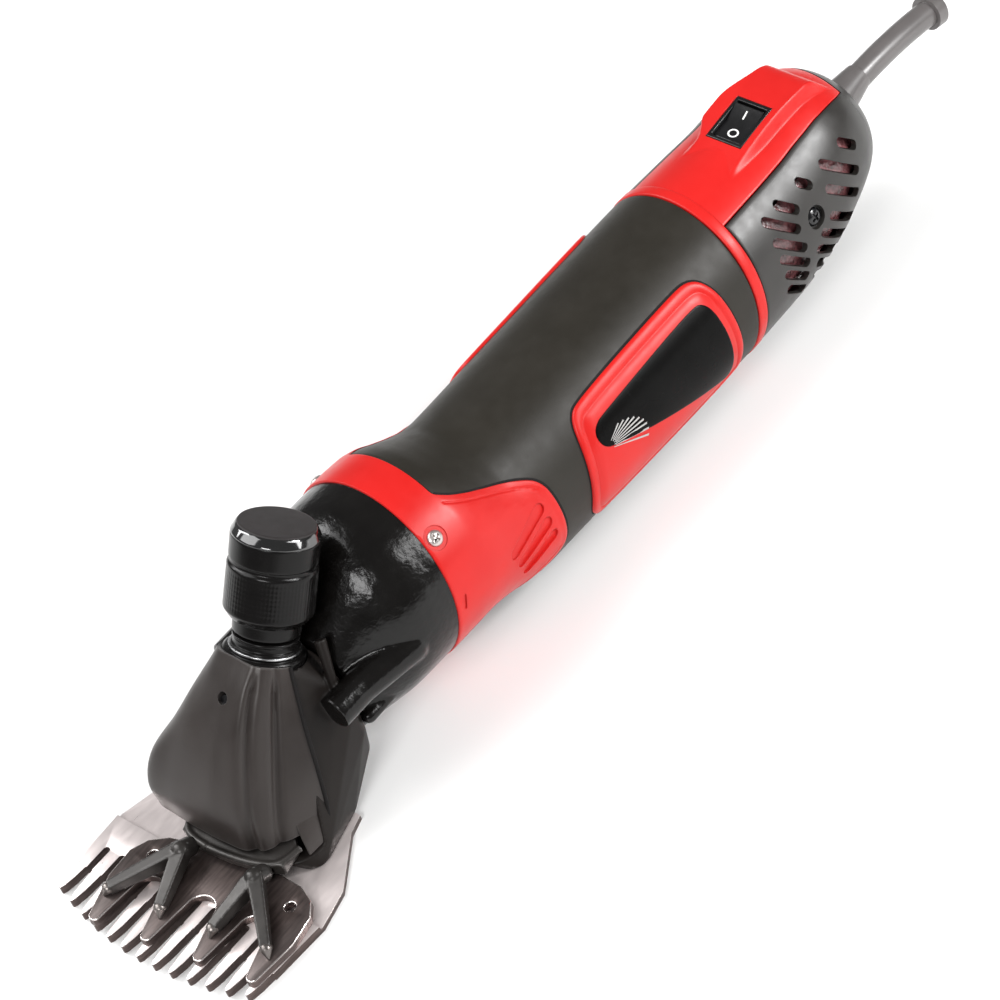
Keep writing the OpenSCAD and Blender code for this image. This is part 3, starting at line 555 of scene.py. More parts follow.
def lobe_reach(angles):
    """The trim's rear edge: the ring's, or the lobe's where the lobe is."""
    edge = seam_station(RING_REAR, angles, TRIM_HEIGHT)
    outline = even(rounded(LOBE, 3, closed=False), 400, closed=False)
    section = barrel(outline[:, 0])
    turn = np.arccos(np.clip((outline[:, 1] - section[:, 1]) / (section[:, 0] + TRIM_HEIGHT), -1, 1))
    order = np.argsort(turn)
    reach = np.interp(np.abs(angles), turn[order], outline[order, 0], left=-200, right=-200)
    edge = np.maximum(edge, reach)
    kernel = np.hanning(15)
    wide = np.concatenate([edge[-7:], edge, edge[:7]])
    return np.convolve(wide, kernel / kernel.sum(), "valid")


def capsule(x0, z0, x1, z1, radius, steps=7):
    """Outline of a slot with round ends between two points."""
    way = math.atan2(z1 - z0, x1 - x0)
    out = []
    for cx, cz, turn in ((x1, z1, -math.pi / 2), (x0, z0, math.pi / 2)):
        for i in range(steps + 1):
            a = way + turn + math.pi * i / steps
            out.append((cx + radius * math.cos(a), cz + radius * math.sin(a)))
    return out


def side_cut(outline, side, depth, height=TRIM_HEIGHT):
    """A solid that sinks depth into the barrel's side, from well outside it."""
    def low(x, z):
        r, zc = barrel(x)
        return (x, side * math.sqrt(max(1.0, (r + height - depth)**2 - (z - zc)**2)), z)

    def high(x, z):
        return (x, side * 40, z)
    return loose(*prism(outline, low, high))


def on_side(angle, x, base=0.0):
    """A place(h, u, v) function square to the barrel at one angle: h outwards from base, u along it."""
    r, zc = barrel(x)
    out = np.array((0, -math.sin(angle), math.cos(angle)))
    along = np.array((1.0, 0, 0))
    side = np.cross(out, along)
    centre = np.array((x, 0, zc))
    return lambda h, u, v: tuple(centre + out * (r + base + h) + along * u + side * v)


def frame_cut(angle, x, radius, low, high):
    """A round hole square to the barrel, from height low to height high."""
    place = on_side(angle, x)
    return loose(*prism(circle(radius, 40), lambda u, v: place(low, u, v), lambda u, v: place(high, u, v)))


TRIM_SCREW = (-130.6, math.radians(50.5))


def add_trim():
    angles = np.linspace(-math.pi, math.pi, 720, endpoint=False)
    start = seam_station(RING_FRONT, angles, TRIM_HEIGHT)
    end = lobe_reach(angles)
    length = float(np.max(end - start))
    t, depth = stops(length, 0.8, 2.2, 0.55)
    x = start[None, :] + (end - start)[None, :] * t[:, None]
    angle = np.broadcast_to(angles, x.shape)
    # distance from the rear edge, measured over the surface
    edge = on_barrel(end, angles, TRIM_HEIGHT)
    place = on_barrel(x, angle, TRIM_HEIGHT)
    gap = np.full(x.shape, 99.0)
    for k in range(-40, 41):
        gap = np.minimum(gap, np.linalg.norm(place - np.roll(edge, k, axis=0)[None], axis=2))
    lobe = (end > seam_station(RING_REAR, angles, TRIM_HEIGHT) + 1.5)[None, :] & (x > -121)
    # a groove 0.3 mm deep, 2.4 mm inside the lobe's edge
    line = np.exp(-((gap - 2.4) / 0.35)**2) * 0.30 * lobe
    lift = TRIM_HEIGHT - depth[:, None] - line
    points = on_barrel(x, angle, lift).reshape(-1, 3)
    skin = add_mesh("front_trim_skin", points, grid_faces(len(t), len(angles), wrap_columns=True),
                    "handpiece", "red", ("front_trim",), smooth=50)
    thicken(skin, 1.3)
    cuts = []
    for side in (-1, 1):
        for k in range(3):
            louvre = capsule(-111.6 + 1.6 * k, 5.4 - 5.2 * k, -97.2 + 0.4 * k, 8.6 - 5.5 * k, 1.9)
            cuts.append(side_cut(louvre, side, 0.55))
        cuts.append(frame_cut(-side * TRIM_SCREW[1], TRIM_SCREW[0], 3.7, -0.1, 4))
        cuts.append(side_cut(capsule(-134.6, 6.6, -133.4, 10.6, 0.5), side, 0.35))
    carve(skin, cuts)
    settle(skin, "handpiece", "red", ("front_trim",), 40)
    for side in (-1, 1):
        seam_line("trim_painted_gap_shadow_%s" % ("left" if side > 0 else "right"), end, angles, side)


def seam_line(name, end, angles, side):
    """A painted shadow: a flat dark strip on the grip where the thin gap round a lobe would be in shade."""
    pick = (np.sign(-np.sin(angles)) == side) & (end > seam_station(RING_REAR, angles, TRIM_HEIGHT) + 0.3)
    points = on_barrel(end[pick], angles[pick], 0.03)
    if side > 0:
        points = points[::-1]
    ribbon(name, points, 0.75, "seam")


def ribbon(name, path, half, finish_name):
    """A flat strip, half as wide to each side, that follows a path on the barrel."""
    tangent = unit(np.gradient(path, axis=0))
    section = barrel(path[:, 0])
    out = np.stack([np.zeros(len(path)), path[:, 1], path[:, 2] - section[:, 1]], 1)
    out = unit(out)
    across = np.cross(tangent, out)
    points = np.vstack([path + across * half, path - across * half])
    n = len(path)
    faces = [(i, i + 1, n + i + 1, n + i) for i in range(n - 1)]
    return add_mesh(name, points, faces, "handpiece", finish_name)


BADGE = [(-66, 21.0), (-22, 22.4), (-13.6, 21.8), (-10.2, 17.5), (-9.3, 10), (-9.3, -10), (-12.5, -17),
         (-74, -17), (-79.4, -13), (-79.2, -5.5), (-74.6, 14), (-71.5, 19.5)]
LABEL = [(-62, 14.8), (-19.5, 17.3), (-15.6, 15.6), (-14.3, 10), (-14.3, -7), (-16.5, -11.8),
         (-20, -12), (-65.5, 5.2), (-69, 7.6), (-69.6, 11.8), (-67, 14.2)]


def panel(name, outline, side, rings, finish_name, nodes):
    """A closed patch on the barrel's side, built from rings that step in from its outline."""
    loop = even(rounded(outline, 3), 220)
    tangent = np.roll(loop, -1, axis=0) - np.roll(loop, 1, axis=0)
    tangent = unit(tangent)
    area = 0.5 * np.sum(loop[:, 0] * np.roll(loop[:, 1], -1) - np.roll(loop[:, 0], -1) * loop[:, 1])
    inward = np.stack([-tangent[:, 1], tangent[:, 0]], 1) * (1 if area > 0 else -1)
    middle = loop.mean(0)
    layers = [(loop + inward * step, height) for step, height in rings]
    last, height = layers[-1]
    layers += [(middle + (last - middle) * k, height) for k in np.linspace(0.9, 0.02, 12)]
    points = []
    for flat, height in layers:
        r, zc = barrel(flat[:, 0]).T
        angle = side * -np.arccos(np.clip((flat[:, 1] - zc) / (r + 0.5), -1, 1))
        points.append(on_barrel(flat[:, 0], angle, height))
    return add_mesh(name, np.vstack(points), grid_faces(len(layers), len(loop), wrap_columns=True)
                    + [tuple(range((len(layers) - 1) * len(loop), len(layers) * len(loop)))],
                    "handpiece", finish_name, nodes, 50)


def add_badges():
    for side, word in ((-1, "right"), (1, "left")):
        rings = [(0, -0.6), (0, 0.35), (0.25, 0.75), (0.7, 0.95), (2.3, 1.02), (2.6, 0.72), (2.95, 0.72),
                 (3.3, 1.0)]
        panel("badge_skin_" + word, BADGE, side, rings, "red", ("badge_panel_" + word,))
        # painted shadow: a dark band round the badge's edge, where its gap would be in shade
        panel("badge_painted_edge_shadow_" + word, BADGE, side, [(-0.55, 0.03), (0.2, 0.04)], "seam", ())
        rings = [(0, 0.9), (0, 1.12), (0.2, 1.22), (0.5, 1.25)]
        panel("label_skin_" + word, LABEL, side, rings, "label", ("label_plate_" + word,))
        label_fan(side, word)


def label_fan(side, word):
    """A plain fan of tapering strokes at the label's front end."""
    points, faces = [], []
    for k in range(9):
        a = math.radians(-40 + 9.5 * k)
        start, end = 3.0 + 0.6 * (k % 2), 19.5 - 1.3 * k
        for s, half in ((start, 0.10), (end, 0.34 - 0.015 * k)):
            for t in (-half, half):
                x = -68.5 + s * math.cos(a) - t * math.sin(a)
                z = 8.2 + s * math.sin(a) * 0.62 + t * math.cos(a) - 1.6
                r, zc = barrel(x)
                angle = -side * math.acos(min(1, max(-1, (z - zc) / (r + 0.5))))
                points.append(on_barrel(x, angle, 1.30))
        n = 4 * k
        faces.append((n, n + 1, n + 3, n + 2))
    add_mesh("label_fan_" + word, points, faces, "handpiece", "fan")


# ------------------------------------------------------------------ rear housing
# The switch pad's top and the reach of its far side, along the barrel
pad_top = smooth_table([(18, 26.4), (22, 27.8), (26, 28.6), (50, 31.4), (59, 31.0), (62, 30.2),
                        (65, 27.0), (69, 21)])
pad_far = smooth_table([(18, 10), (29, 10.4), (33, 12.2), (37, 14.4), (44, 14.4), (57, 11.6), (70, 9)])
# The cap's half angle along the barrel
cap_side = smooth_table([(-2, 0.655), (20, 0.635), (40, 0.624), (52, 0.645), (60, 0.665), (66, 0.67),
                         (70, 0.65)])
CAP_END = 70.0


def add_rear():
    # the cap's strip over the top, with the raised pad for the switch
    u, side_depth = stops(36, 0.28, 2.0, 0.4)
    t, depth = stops(68, 0.5, 2.0, 0.5)
    sides = 2 * u - 1
    front = seam_station(0.05, 0.645 * sides)
    x = front[None, :] + (CAP_END - front[None, :]) * t[:, None]
    angle = cap_side(x)[..., 0] * sides[None, :]
    points = on_barrel(x, angle, -np.maximum(depth[:, None], side_depth[None, :]))
    reach = np.where(points[..., 1] > 0, pad_far(x)[..., 0], 11.0)
    edge = np.clip((reach - np.abs(points[..., 1])) / 2.3, 0, 1)
    edge = edge * edge * (3 - 2 * edge)
    raised = np.clip(pad_top(x)[..., 0] - points[..., 2], 0, None)
    onset = np.clip((x - 15) / 9, 0, 1)
    points[..., 2] += raised * edge * onset * onset * (3 - 2 * onset)
    cap = add_mesh("rear_cap_skin", points.reshape(-1, 3), grid_faces(len(t), len(u)), "handpiece", "red",
                   ("rear_cap",), 45)
    thicken(cap, 1.0)
    switch = [(-8.35, -6.85), (8.35, -6.85), (8.35, 6.85), (-8.35, 6.85)]
    opening = prism(switch, lambda u, v: switch_at(u, v, -9), lambda u, v: switch_at(u, v, 8))
    carve(cap, [loose(*opening)])
    settle(cap, "handpiece", "red", ("rear_cap",), 40)
    # the narrow red ring behind the grip
    start, end = seam_station(0.1, AROUND), seam_station(3.9, AROUND)
    band("rear_ring_skin", start, end, AROUND, 0.25, "red", (), step=0.8, corner=0.45)
    # the grille cover, under and beside the cap
    u, side_depth = stops(110, 0.9, 2.2, 0.4)
    t, depth = stops(68, 0.8, 2.2, 0.4)
    points = []
    for s, sunk in zip(t, depth):
        x_edge = 4.0 + (CAP_END - 4.0) * s
        edge = float(cap_side(np.array([x_edge]))[0, 0]) + 0.008
        a = edge + (2 * math.pi - 2 * edge) * u
        begin = seam_station(4.15, a)
        x_here = begin + (CAP_END + 0.1 - begin) * s
        points.append(on_barrel(x_here, a, -np.maximum(side_depth, sunk if s < 0.5 else 0)))
    grille = add_mesh("rear_grille_skin", np.vstack(points), grid_faces(len(t), len(u)), "handpiece",
                      "grille", ("rear_grille_cover",), 45)
    thicken(grille, 1.8)
    cuts = []
    for x0, z0, x1, x2, x3 in VENT_ROWS:
        for begin, end in ((x0, x1), (x2, x3)):
            if end > begin:
                ends = [(x, z0 - (x - x0) * VENT_SLOPE) for x in (begin + 0.9, end - 0.9)]
                for side in (-1, 1):
                    cuts.append(side_cut(capsule(*ends[0], *ends[1], 1.5), side, 12, 0))
    for side in (-1, 1):
        cuts.append(side_cut(circle(3.6, 32, GRILLE_SCREW[0], GRILLE_SCREW[1]), side, 1.6, 0))
    carve(grille, cuts)
    settle(grille, "handpiece", "grille", ("rear_grille_cover",), 40)
    x = np.concatenate([[70.08], np.linspace(70.12, 77.2, 24), [77.3]])
    height = np.array([-1.5] + [0.0] * 24 + [-2.0])
    points = on_barrel(x[:, None], AROUND[None, ::3], height[:, None])
    faces = grid_faces(len(x), len(AROUND[::3]), wrap_columns=True)
    add_mesh("rear_end_skin", points.reshape(-1, 3), faces, "handpiece", "grille", ("rear_grille_cover",))
    # a liner behind the slots
    x = np.linspace(8, 70, 40)
    a = np.linspace(0.9, 2 * math.pi - 0.9, 80)
    points = on_barrel(x[:, None], a[None, :], -3.4).reshape(-1, 3)
    add_mesh("vent_liner", points, grid_faces(40, 80), "handpiece", "liner")


# Rows of air slots: start (x, z), end of the front slot, start and end of the one behind the rib
VENT_ROWS = [(54.4, 17.3, 60, 0, 0), (44.6, 17.4, 56.5, 0, 0), (34.5, 18.5, 38.2, 41.5, 54),
             (23.7, 18.9, 29.5, 38.5, 51), (16.9, 18.3, 26.2, 33, 47), (15.6, 12.4, 25.4, 29.5, 43),
             (14.7, 7, 24.8, 28.6, 40), (14.2, 1.4, 23.6, 27.4, 36.5), (13.6, -4.4, 22.6, 26.2, 31.5)]
VENT_SLOPE = math.tan(math.radians(46.5))
GRILLE_SCREW = (33.5, 7)


def switch_at(u, v, h):
    """A place on the switch's own frame: u along the barrel, v across, h up."""
    c, s = math.cos(math.radians(6.6)), math.sin(math.radians(6.6))
    return (39 + u * c - h * s, v, 30 + u * s + h * c)


# ------------------------------------------------------------------ switch
def rocker_at(u, v, h):
    """A place on the rocker, which rests tilted 8 degrees in the switch's frame."""
    c, s = math.cos(math.radians(8)), math.sin(math.radians(8))
    return switch_at(u * c - h * s, v, u * s + h * c - 2.5)


def flat_strip(name, outline, place, body, finish_name):
    """A flat ring between an outer and an inner outline."""
    points = [place(u, v) for u, v in outline]
    n = len(points) // 2
    faces = [(i, (i + 1) % n, n + (i + 1) % n, n + i) for i in range(n)]
    return add_mesh(name, points, faces, body, finish_name)


def add_switch():
    ease_copy("switch_bezel", "switch_bezel_skin", 0.35, "switch", "handpiece")
    ease_copy("switch_rocker", "switch_rocker_skin", 0.3, "switch", "rocker")
    ring = [(r * math.cos(a), 1.25 * r * math.sin(a)) for r in (1.55, 1.05) for a in turn_steps(32)]
    flat_strip("mark_off", ring, lambda u, v: rocker_at(-3.3 + u, v, 1.7 + 0.145 * (3.3 - u) + 0.04),
               "rocker", "mark")
    bar = [(-1.4, -0.28), (1.4, -0.28), (1.4, 0.28), (-1.4, 0.28)]
    points = [rocker_at(3.3 + u, v, 1.7 + 0.145 * (3.3 + u) + 0.04) for u, v in bar]
    add_mesh("mark_on", points, [(0, 1, 2, 3)], "rocker", "mark")


def ease_copy(node, name, width, finish_name, body, angle=25, rim_finish=None, pick=None,
              segments=3):
    """A CAD node's own shape with its sharp edges rolled over by width millimetres."""
    source = NODES[node]
    obj = bpy.data.objects.new(name, source.data.copy())
    bpy.context.scene.collection.objects.link(obj)
    obj.data.materials.clear()
    obj.data.materials.append(FINISH[finish_name])
    if rim_finish:
        obj.data.materials.append(FINISH[rim_finish])
    bm = bmesh.new()
    bm.from_mesh(obj.data)
    bmesh.ops.remove_doubles(bm, verts=bm.verts, dist=2e-6)
    bmesh.ops.dissolve_limit(bm, angle_limit=math.radians(1.5), verts=bm.verts, edges=bm.edges)
    sharp = [e for e in bm.edges if len(e.link_faces) == 2 and e.calc_face_angle(0) > math.radians(angle)
             and (pick is None or pick(e))]
    bmesh.ops.bevel(bm, geom=sharp, offset=width * MM, segments=segments, profile=0.6, affect="EDGES",
                    clamp_overlap=True, material=1 if rim_finish else -1)
    bm.to_mesh(obj.data)
    bm.free()
    shade(obj, 40)
    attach(obj, body)
    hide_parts(node)
    return obj


def cast_copy(objects, name, voxel, rounds, finish_name, body, nodes):
    """One casting out of overlapping solids: remeshed fine, with its corners smoothed."""
    bm = bmesh.new()
    for obj in objects:
        bm.from_mesh(obj.data)
    mesh = bpy.data.meshes.new(name)
    bm.to_mesh(mesh)
    bm.free()
    obj = bpy.data.objects.new(name, mesh)
    bpy.context.scene.collection.objects.link(obj)
    remesh = obj.modifiers.new("cast", "REMESH")
    remesh.mode = "VOXEL"
    remesh.voxel_size = voxel * 1 * MM
    ease = obj.modifiers.new("ease", "SMOOTH")
    ease.factor = 0.5
    ease.iterations = rounds
    apply_modifiers(obj)
    obj.data.materials.clear()
    for other in objects:
        if other.name not in NODES:
            bpy.data.objects.remove(other)
    shade(obj, 60)
    obj.data.materials.append(FINISH[finish_name])
    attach(obj, body)
    if nodes:
        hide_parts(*nodes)
    return obj


def rod(p, q, r0, r1, steps=24, dome=True):
    """A closed round bar from p to q, with domed or flat ends."""
    p, q = np.array(p, float), np.array(q, float)
    way = unit(q - p)
    side = np.cross(way, (0, 0, 1.0) if abs(way[2]) < 0.9 else (1.0, 0, 0))
    side = unit(side)
    over = np.cross(way, side)
    rings = []
    for t in (np.linspace(-90, 0, 6) if dome else [0]):
        c, s = math.cos(math.radians(t)), math.sin(math.radians(t))
        rings.append((p + way * r0 * s, max(0.05, r0 * c)))
    for t in (np.linspace(0, 90, 6) if dome else [0]):
        c, s = math.cos(math.radians(t)), math.sin(math.radians(t))
        rings.append((q + way * r1 * s, max(0.05, r1 * c)))
    points = [c + r * (side * math.cos(a) + over * math.sin(a)) for c, r in rings
              for a in turn_steps(steps)]
    return points, tube_faces(len(rings), steps)


# ------------------------------------------------------------------ gear housing
# Station, half width, top and bottom, squareness of the section
housing = smooth_table([(-174, 16.5, 15.0, -21.4, 2.7), (-170.5, 18.0, 19.0, -22.0, 2.5),
                        (-166, 20.6, 24.0, -22.3, 2.3), (-160, 24.6, 30.6, -22.3, 2.15),
                        (-154, 28.3, 35.9, -22.0, 2.05), (-148, 30.1, 38.8, -21.6, 2.0),
                        (-142, 30.5, 39.7, -21.4, 2.0), (-130, 30.4, 39.5, -21.2, 2.0)])


def add_gear_housing():
    stations = np.concatenate([np.linspace(-171.9, -139, 46), np.linspace(-138, -132, 6)])
    steps = 120
    points = []
    for x in stations:
        half, top, bottom, n = housing(x)
        middle, tall = (top + bottom) / 2, (top - bottom) / 2
        for a in turn_steps(steps):
            c, s = math.cos(a), math.sin(a)
            points.append((x, half * math.copysign(abs(s)**(2 / n), s),
                           middle + tall * math.copysign(abs(c)**(2 / n), c)))
    parts = [loose(points, tube_faces(len(stations), steps))]
    for side in (-1, 1):
        # the boss, over the head casting's ear and then along the housing
        parts.append(loose(*rod((-182.5, side * 21.5, 6.0), (-170, side * 21.5, 6.0), 5.25, 5.25, 48, False)))
        parts.append(loose(*rod((-171, side * 21.5, 6.0), (-152.8, side * 25.0, 6.6), 5.25, 5.4, 48)))
        # two ribs below it
        parts.append(loose(*rod((-171.0, side * 18.5, 3), (-158, side * 20, 3), 4.0, 3.0)))
        parts.append(loose(*rod((-171.0, side * 19.0, -9), (-160, side * 19.5, -9), 2.2, 1.6)))
    cast_copy(parts, "gear_housing_skin", 0.55, 5, "housing", "handpiece", ("gear_housing",))


# ------------------------------------------------------------------ head
# The cover, rows from its top edge down. Right half: from the middle over two soft creases to
# the seam. Left half: from the middle to its far corner and back to the seam.
COVER = [
    [(-191.5, 0, 28.6), (-191.2, -7.4, 27.9), (-187.0, -10.8, 24.8), (-183.6, -12.2, 22.4)],
    [(-200.4, 0, 20.6), (-199.4, -8.4, 20.2), (-193.6, -12.8, 14.8), (-187.4, -15.4, 14.6)],
    [(-208.4, 0, 10.4), (-206.9, -9.4, 10.0), (-200.4, -14.8, 4.0), (-191.0, -18.4, 6.4)],
    [(-215.8, 0, -1.0), (-213.6, -10.8, -2.0), (-206.8, -16.6, -6.6), (-194.4, -21.4, -3.6)],
    [(-220.2, 0, -10.5), (-218.0, -12.0, -11.6), (-211.0, -18.0, -14.2), (-197.2, -23.2, -14.0)],
    [(-221.6, 0, -20.0), (-220.0, -12.8, -20.0), (-213.4, -19.0, -19.6), (-199.4, -24.0, -21.4)],
]
COVER_LEFT = [
    [(-191.5, 0, 28.6), (-191.0, 7.6, 27.6), (-187.5, 11.0, 24.8), (-183.6, 12.2, 22.4)],
    [(-200.4, 0, 20.6), (-200.4, 10.0, 18.0), (-198.2, 15.8, 15.5), (-188.0, 16.5, 14.6)],
    [(-208.4, 0, 10.4), (-209.0, 13.5, 8.4), (-206.4, 21.2, 5.5), (-191.0, 21.5, 6.4)],
    [(-215.8, 0, -1.0), (-216.2, 17.0, -2.8), (-213.8, 27.0, -3.6), (-194.4, 26.0, -3.6)],
    [(-220.2, 0, -10.5), (-220.6, 18.0, -12.0), (-217.8, 28.6, -12.5), (-197.2, 27.0, -14.0)],
    [(-221.6, 0, -20.0), (-221.4, 17.0, -19.6), (-218.6, 26.6, -19.8), (-199.4, 26.5, -20.6)],
]


def catmull(keys, count):
    """A smooth path through keys (rows of any shape), with count samples."""
    keys = np.asarray(keys, float)
    padded = np.concatenate([[2 * keys[0] - keys[1]], keys, [2 * keys[-1] - keys[-2]]])
    out = []
    for t in np.linspace(0, len(keys) - 1, count):
        i = min(int(t), len(keys) - 2)
        f = t - i
        a, b, c, d = padded[i:i + 4]
        out.append(0.5 * (2 * b + (c - a) * f + (2 * a - 5 * b + 4 * c - d) * f**2
                          + (3 * b - a - 3 * c + d) * f**3))
    return np.array(out)


def add_head_cover():
    rows, columns = 90, 48
    right = np.array([catmull(row, columns) for row in catmull(np.array(COVER), rows)])
    left = np.array([catmull(row, columns) for row in catmull(np.array(COVER_LEFT), rows)])
    net = np.concatenate([left[:, :0:-1], right], axis=1)
    for _ in range(6):
        net[:, 1:-1] = 0.25 * net[:, :-2] + 0.5 * net[:, 1:-1] + 0.25 * net[:, 2:]
    normal = np.cross(np.gradient(net, axis=1), np.gradient(net, axis=0))
    normal /= np.linalg.norm(normal, axis=2)[..., None] + 1e-9
    if normal[rows // 2, columns, 0] > 0:
        normal = -normal
    # two soft creases down the right half, which fade in from the top edge
    run = np.concatenate([-np.linspace(3, 0, columns)[:-1], np.linspace(0, 3, columns)])
    valley = 1.7 * np.exp(-((run - 1.08) / 0.17)**2) + 1.3 * np.exp(-((run - 1.95) / 0.12)**2)
    fade = np.clip(np.linspace(0, 8, rows), 0.25, 1)
    net = net - normal * (valley[None, :] * fade[:, None])[..., None]
    cover = add_mesh("head_cover_skin", net.reshape(-1, 3), grid_faces(rows, net.shape[1]), "handpiece",
                     "head", ("head_cover",))
    flip_outward(cover, (-195, 0, -5))
    thicken(cover, 2.4)
    hole = prism(circle(1.9, 28), lambda u, v: cover_hole_at(u, v, -8), lambda u, v: cover_hole_at(u, v, 5))
    carve(cover, [loose(*hole)])
    settle(cover, "handpiece", "head", ("head_cover",), 50)
    # the two feet of the cover beside its mouth
    for side, word in ((-1, "right"), (1, "left")):
        outer = [(-208.0, 20.3, -16.5), (-198.0, 23.5, -17.5), (-200.4, 24.8, -25.3), (-205.5, 25.1, -25.3),
                 (-210.6, 24.8, -25.3), (-209.4, 22.4, -21.3)]
        corners = [np.array(p, float) * (1, side, 1) for p in outer]
        inner = [p + np.array((1.4, -side * 2.4, 0)) for p in corners]
        foot = add_mesh("cover_foot_" + word, corners + inner, slab_faces(len(corners)), "handpiece",
                        "head", ("head_cover",))
        roll_edges(foot, 0.5)
    # painted shadow: a dark bar along the seam, where the gap would be in shade
    for side, word in ((-1, "right"), (1, "left")):
        path = catmull(np.array([row[3] for row in (COVER if side < 0 else COVER_LEFT)]), 60)
        points, faces = rod_path(path, 0.62)
        add_mesh("cover_painted_seam_shadow_" + word, points, faces, "handpiece", "seam")


def roll_edges(obj, width):
    ease = obj.modifiers.new("edges", "BEVEL")
    ease.width = width * MM
    ease.segments = 3
    ease.limit_method = "ANGLE"
    ease.angle_limit = math.radians(25)
    apply_modifiers(obj)
    shade(obj, 40)


def rod_path(path, radius, steps=10):
    """A round bar along a path, with flat ends."""
    tangent = unit(np.gradient(path, axis=0))
    side = unit(np.cross(tangent, (0, 1.0, 0)))
    over = np.cross(tangent, side)
    a = turn_steps(steps)[None, :, None]
    rad = np.broadcast_to(radius, len(path))
    points = path[:, None] + rad[:, None, None] * (side[:, None] * np.cos(a) + over[:, None] * np.sin(a))
    return points.reshape(-1, 3), tube_faces(len(path), steps)


def flip_outward(obj, centre):
    """Turns an open shell's faces away from a place inside it."""
    middle = at(*centre)
    total = sum((f.center - middle).dot(f.normal) for f in obj.data.polygons)
    if total < 0:
        obj.data.flip_normals()
        obj.data.update()


def cover_hole_at(u, v, h):
    """A place on the frame of the small hole in the cover: h out of it."""
    c, s = math.cos(math.radians(45)), math.sin(math.radians(45))
    return (-200.6 + u * c - h * s, v, 20.3 + u * s + h * c)


def add_head_casting():
    parts = [NODES["head_casting"]]
    for side in (-1, 1):
        rib = catmull([(-171.5, side * 12.2, 21.5), (-174.5, side * 15.5, 14.5), (-177.5, side * 18.6, 7),
                       (-180, side * 20.2, 1)], 24)
        parts.append(loose(*rod_path(rib, np.linspace(1.9, 0.8, 24), 16)))
    # the casting takes the darker copy of the head's finish: painted shade
    cast_copy(parts, "head_casting_skin", 0.45, 4, "casting", "handpiece", ("head_casting",))


# ------------------------------------------------------------------ knob
KNOB_LEAN = math.radians(32)


def knob_at(s, across, side):
    """A place on the knob's axis frame: s down from its top."""
    lean_c, lean_s = math.cos(KNOB_LEAN), math.sin(KNOB_LEAN)
    return (-161.2 - s * lean_s + across * lean_c, side, 54.6 - s * lean_c - across * lean_s)


def add_knob():
    profile = round_corners([(32.6, 7.5), (32.6, 9.8), (28.4, 10.0), (28.2, 11.2), (25.8, 13.0),
                             (12.6, 13.0), (12.1, 12.75), (11.7, 12.35), (10.7, 12.35), (10.3, 12.75),
                             (3.4, 12.85), (3.4, 11.0)],
                            0.3)
    dense = []
    for (s0, r0), (s1, r1) in zip(profile[:-1], profile[1:]):
        n = max(1, int(abs(s1 - s0) / 0.5))
        dense += [(s0 + (s1 - s0) * k / n, r0 + (r1 - r0) * k / n) for k in range(n)]
    dense.append(profile[-1])

    def knurl(s, a):
        if not 13.2 < s < 25.2:
            return 0.0
        fade = min(1, (s - 13.2) / 0.6, (25.2 - s) / 0.6)
        ring = 0.55 + 0.45 * math.cos(s * 2 * math.pi / 1.4)
        return -0.10 * fade * (0.5 + 0.5 * math.cos(72 * a)) * ring

    lathe("tension_knob_skin", dense, knob_at, "tension_knob", "knob", ("tension_knob",), 288, knurl)
    chamfer = round_corners([(4.0, 12.0), (3.42, 12.86), (2.9, 12.8), (1.0, 11.75), (0.5, 11.3),
                             (0.4, 10.0)], 0.2)
    lathe("tension_knob_chamfer", chamfer, knob_at, "tension_knob", "polished")
    top = round_corners([(0.7, 11.35), (0.1, 11.1), (0.0, 10.6), (0.0, 0.3)], 0.15)
    lathe("tension_knob_top", top, knob_at, "tension_knob", "knob_top")
    sleeve = round_corners([(40.9, 6.1), (41.0, 12.0), (38.9, 12.0), (38.3, 11.3), (38.1, 10.0),
                            (36.6, 9.9), (36.3, 9.3), (34.8, 9.3), (34.5, 9.6), (33.7, 9.6),
                            (33.4, 7.3), (24.5, 7.25), (24.5, 6.1), (40.8, 6.1)], 0.25)
    lathe("tension_sleeve_skin", sleeve, knob_at, "handpiece", "knob", ("tension_sleeve",))
    ring = round_corners([(37.9, 9.7), (37.9, 10.45), (37.2, 10.45), (37.2, 9.7)], 0.15)
    lathe("tension_bright_ring", ring, knob_at, "handpiece", "steel")


# ------------------------------------------------------------------ comb, cutter and yokes
def high_edge(level):
    """Picks the edges at or above a height, in the barrel's millimetres."""
    limit = at(0, 0, level).z
    return lambda e: min(v.co.z for v in e.verts) > limit


def add_blades():
    for node, width, body, level in (("comb", 0.35, "handpiece", -31.9), ("cutter", 0.55, "fork", -26.6)):
        blade = ease_copy(node, node + "_skin", width, node, body, 30, "ground",
                          high_edge(level), 2)
        blade.data.materials.append(FINISH["blade_side"])
        # painted shade: upright faces take the dark side finish, as if in shadow; on the cutter it stays close to
        # its own brown
        for face in blade.data.polygons:
            if abs(face.normal.z) < 0.25 and face.area > 0.3e-6:
                face.material_index = 2


FULCRUM_X, HALF_SWING = -184, math.radians(7.5)


def swung(points):
    """The fork's rest position: turned half its swing about the fulcrum post."""
    c, s = math.cos(HALF_SWING), math.sin(HALF_SWING)
    p = np.array(points, float)
    x, y = p[..., 0] - FULCRUM_X, p[..., 1].copy()
    p[..., 0] = FULCRUM_X + x * c - y * s
    p[..., 1] = x * s + y * c
    return p


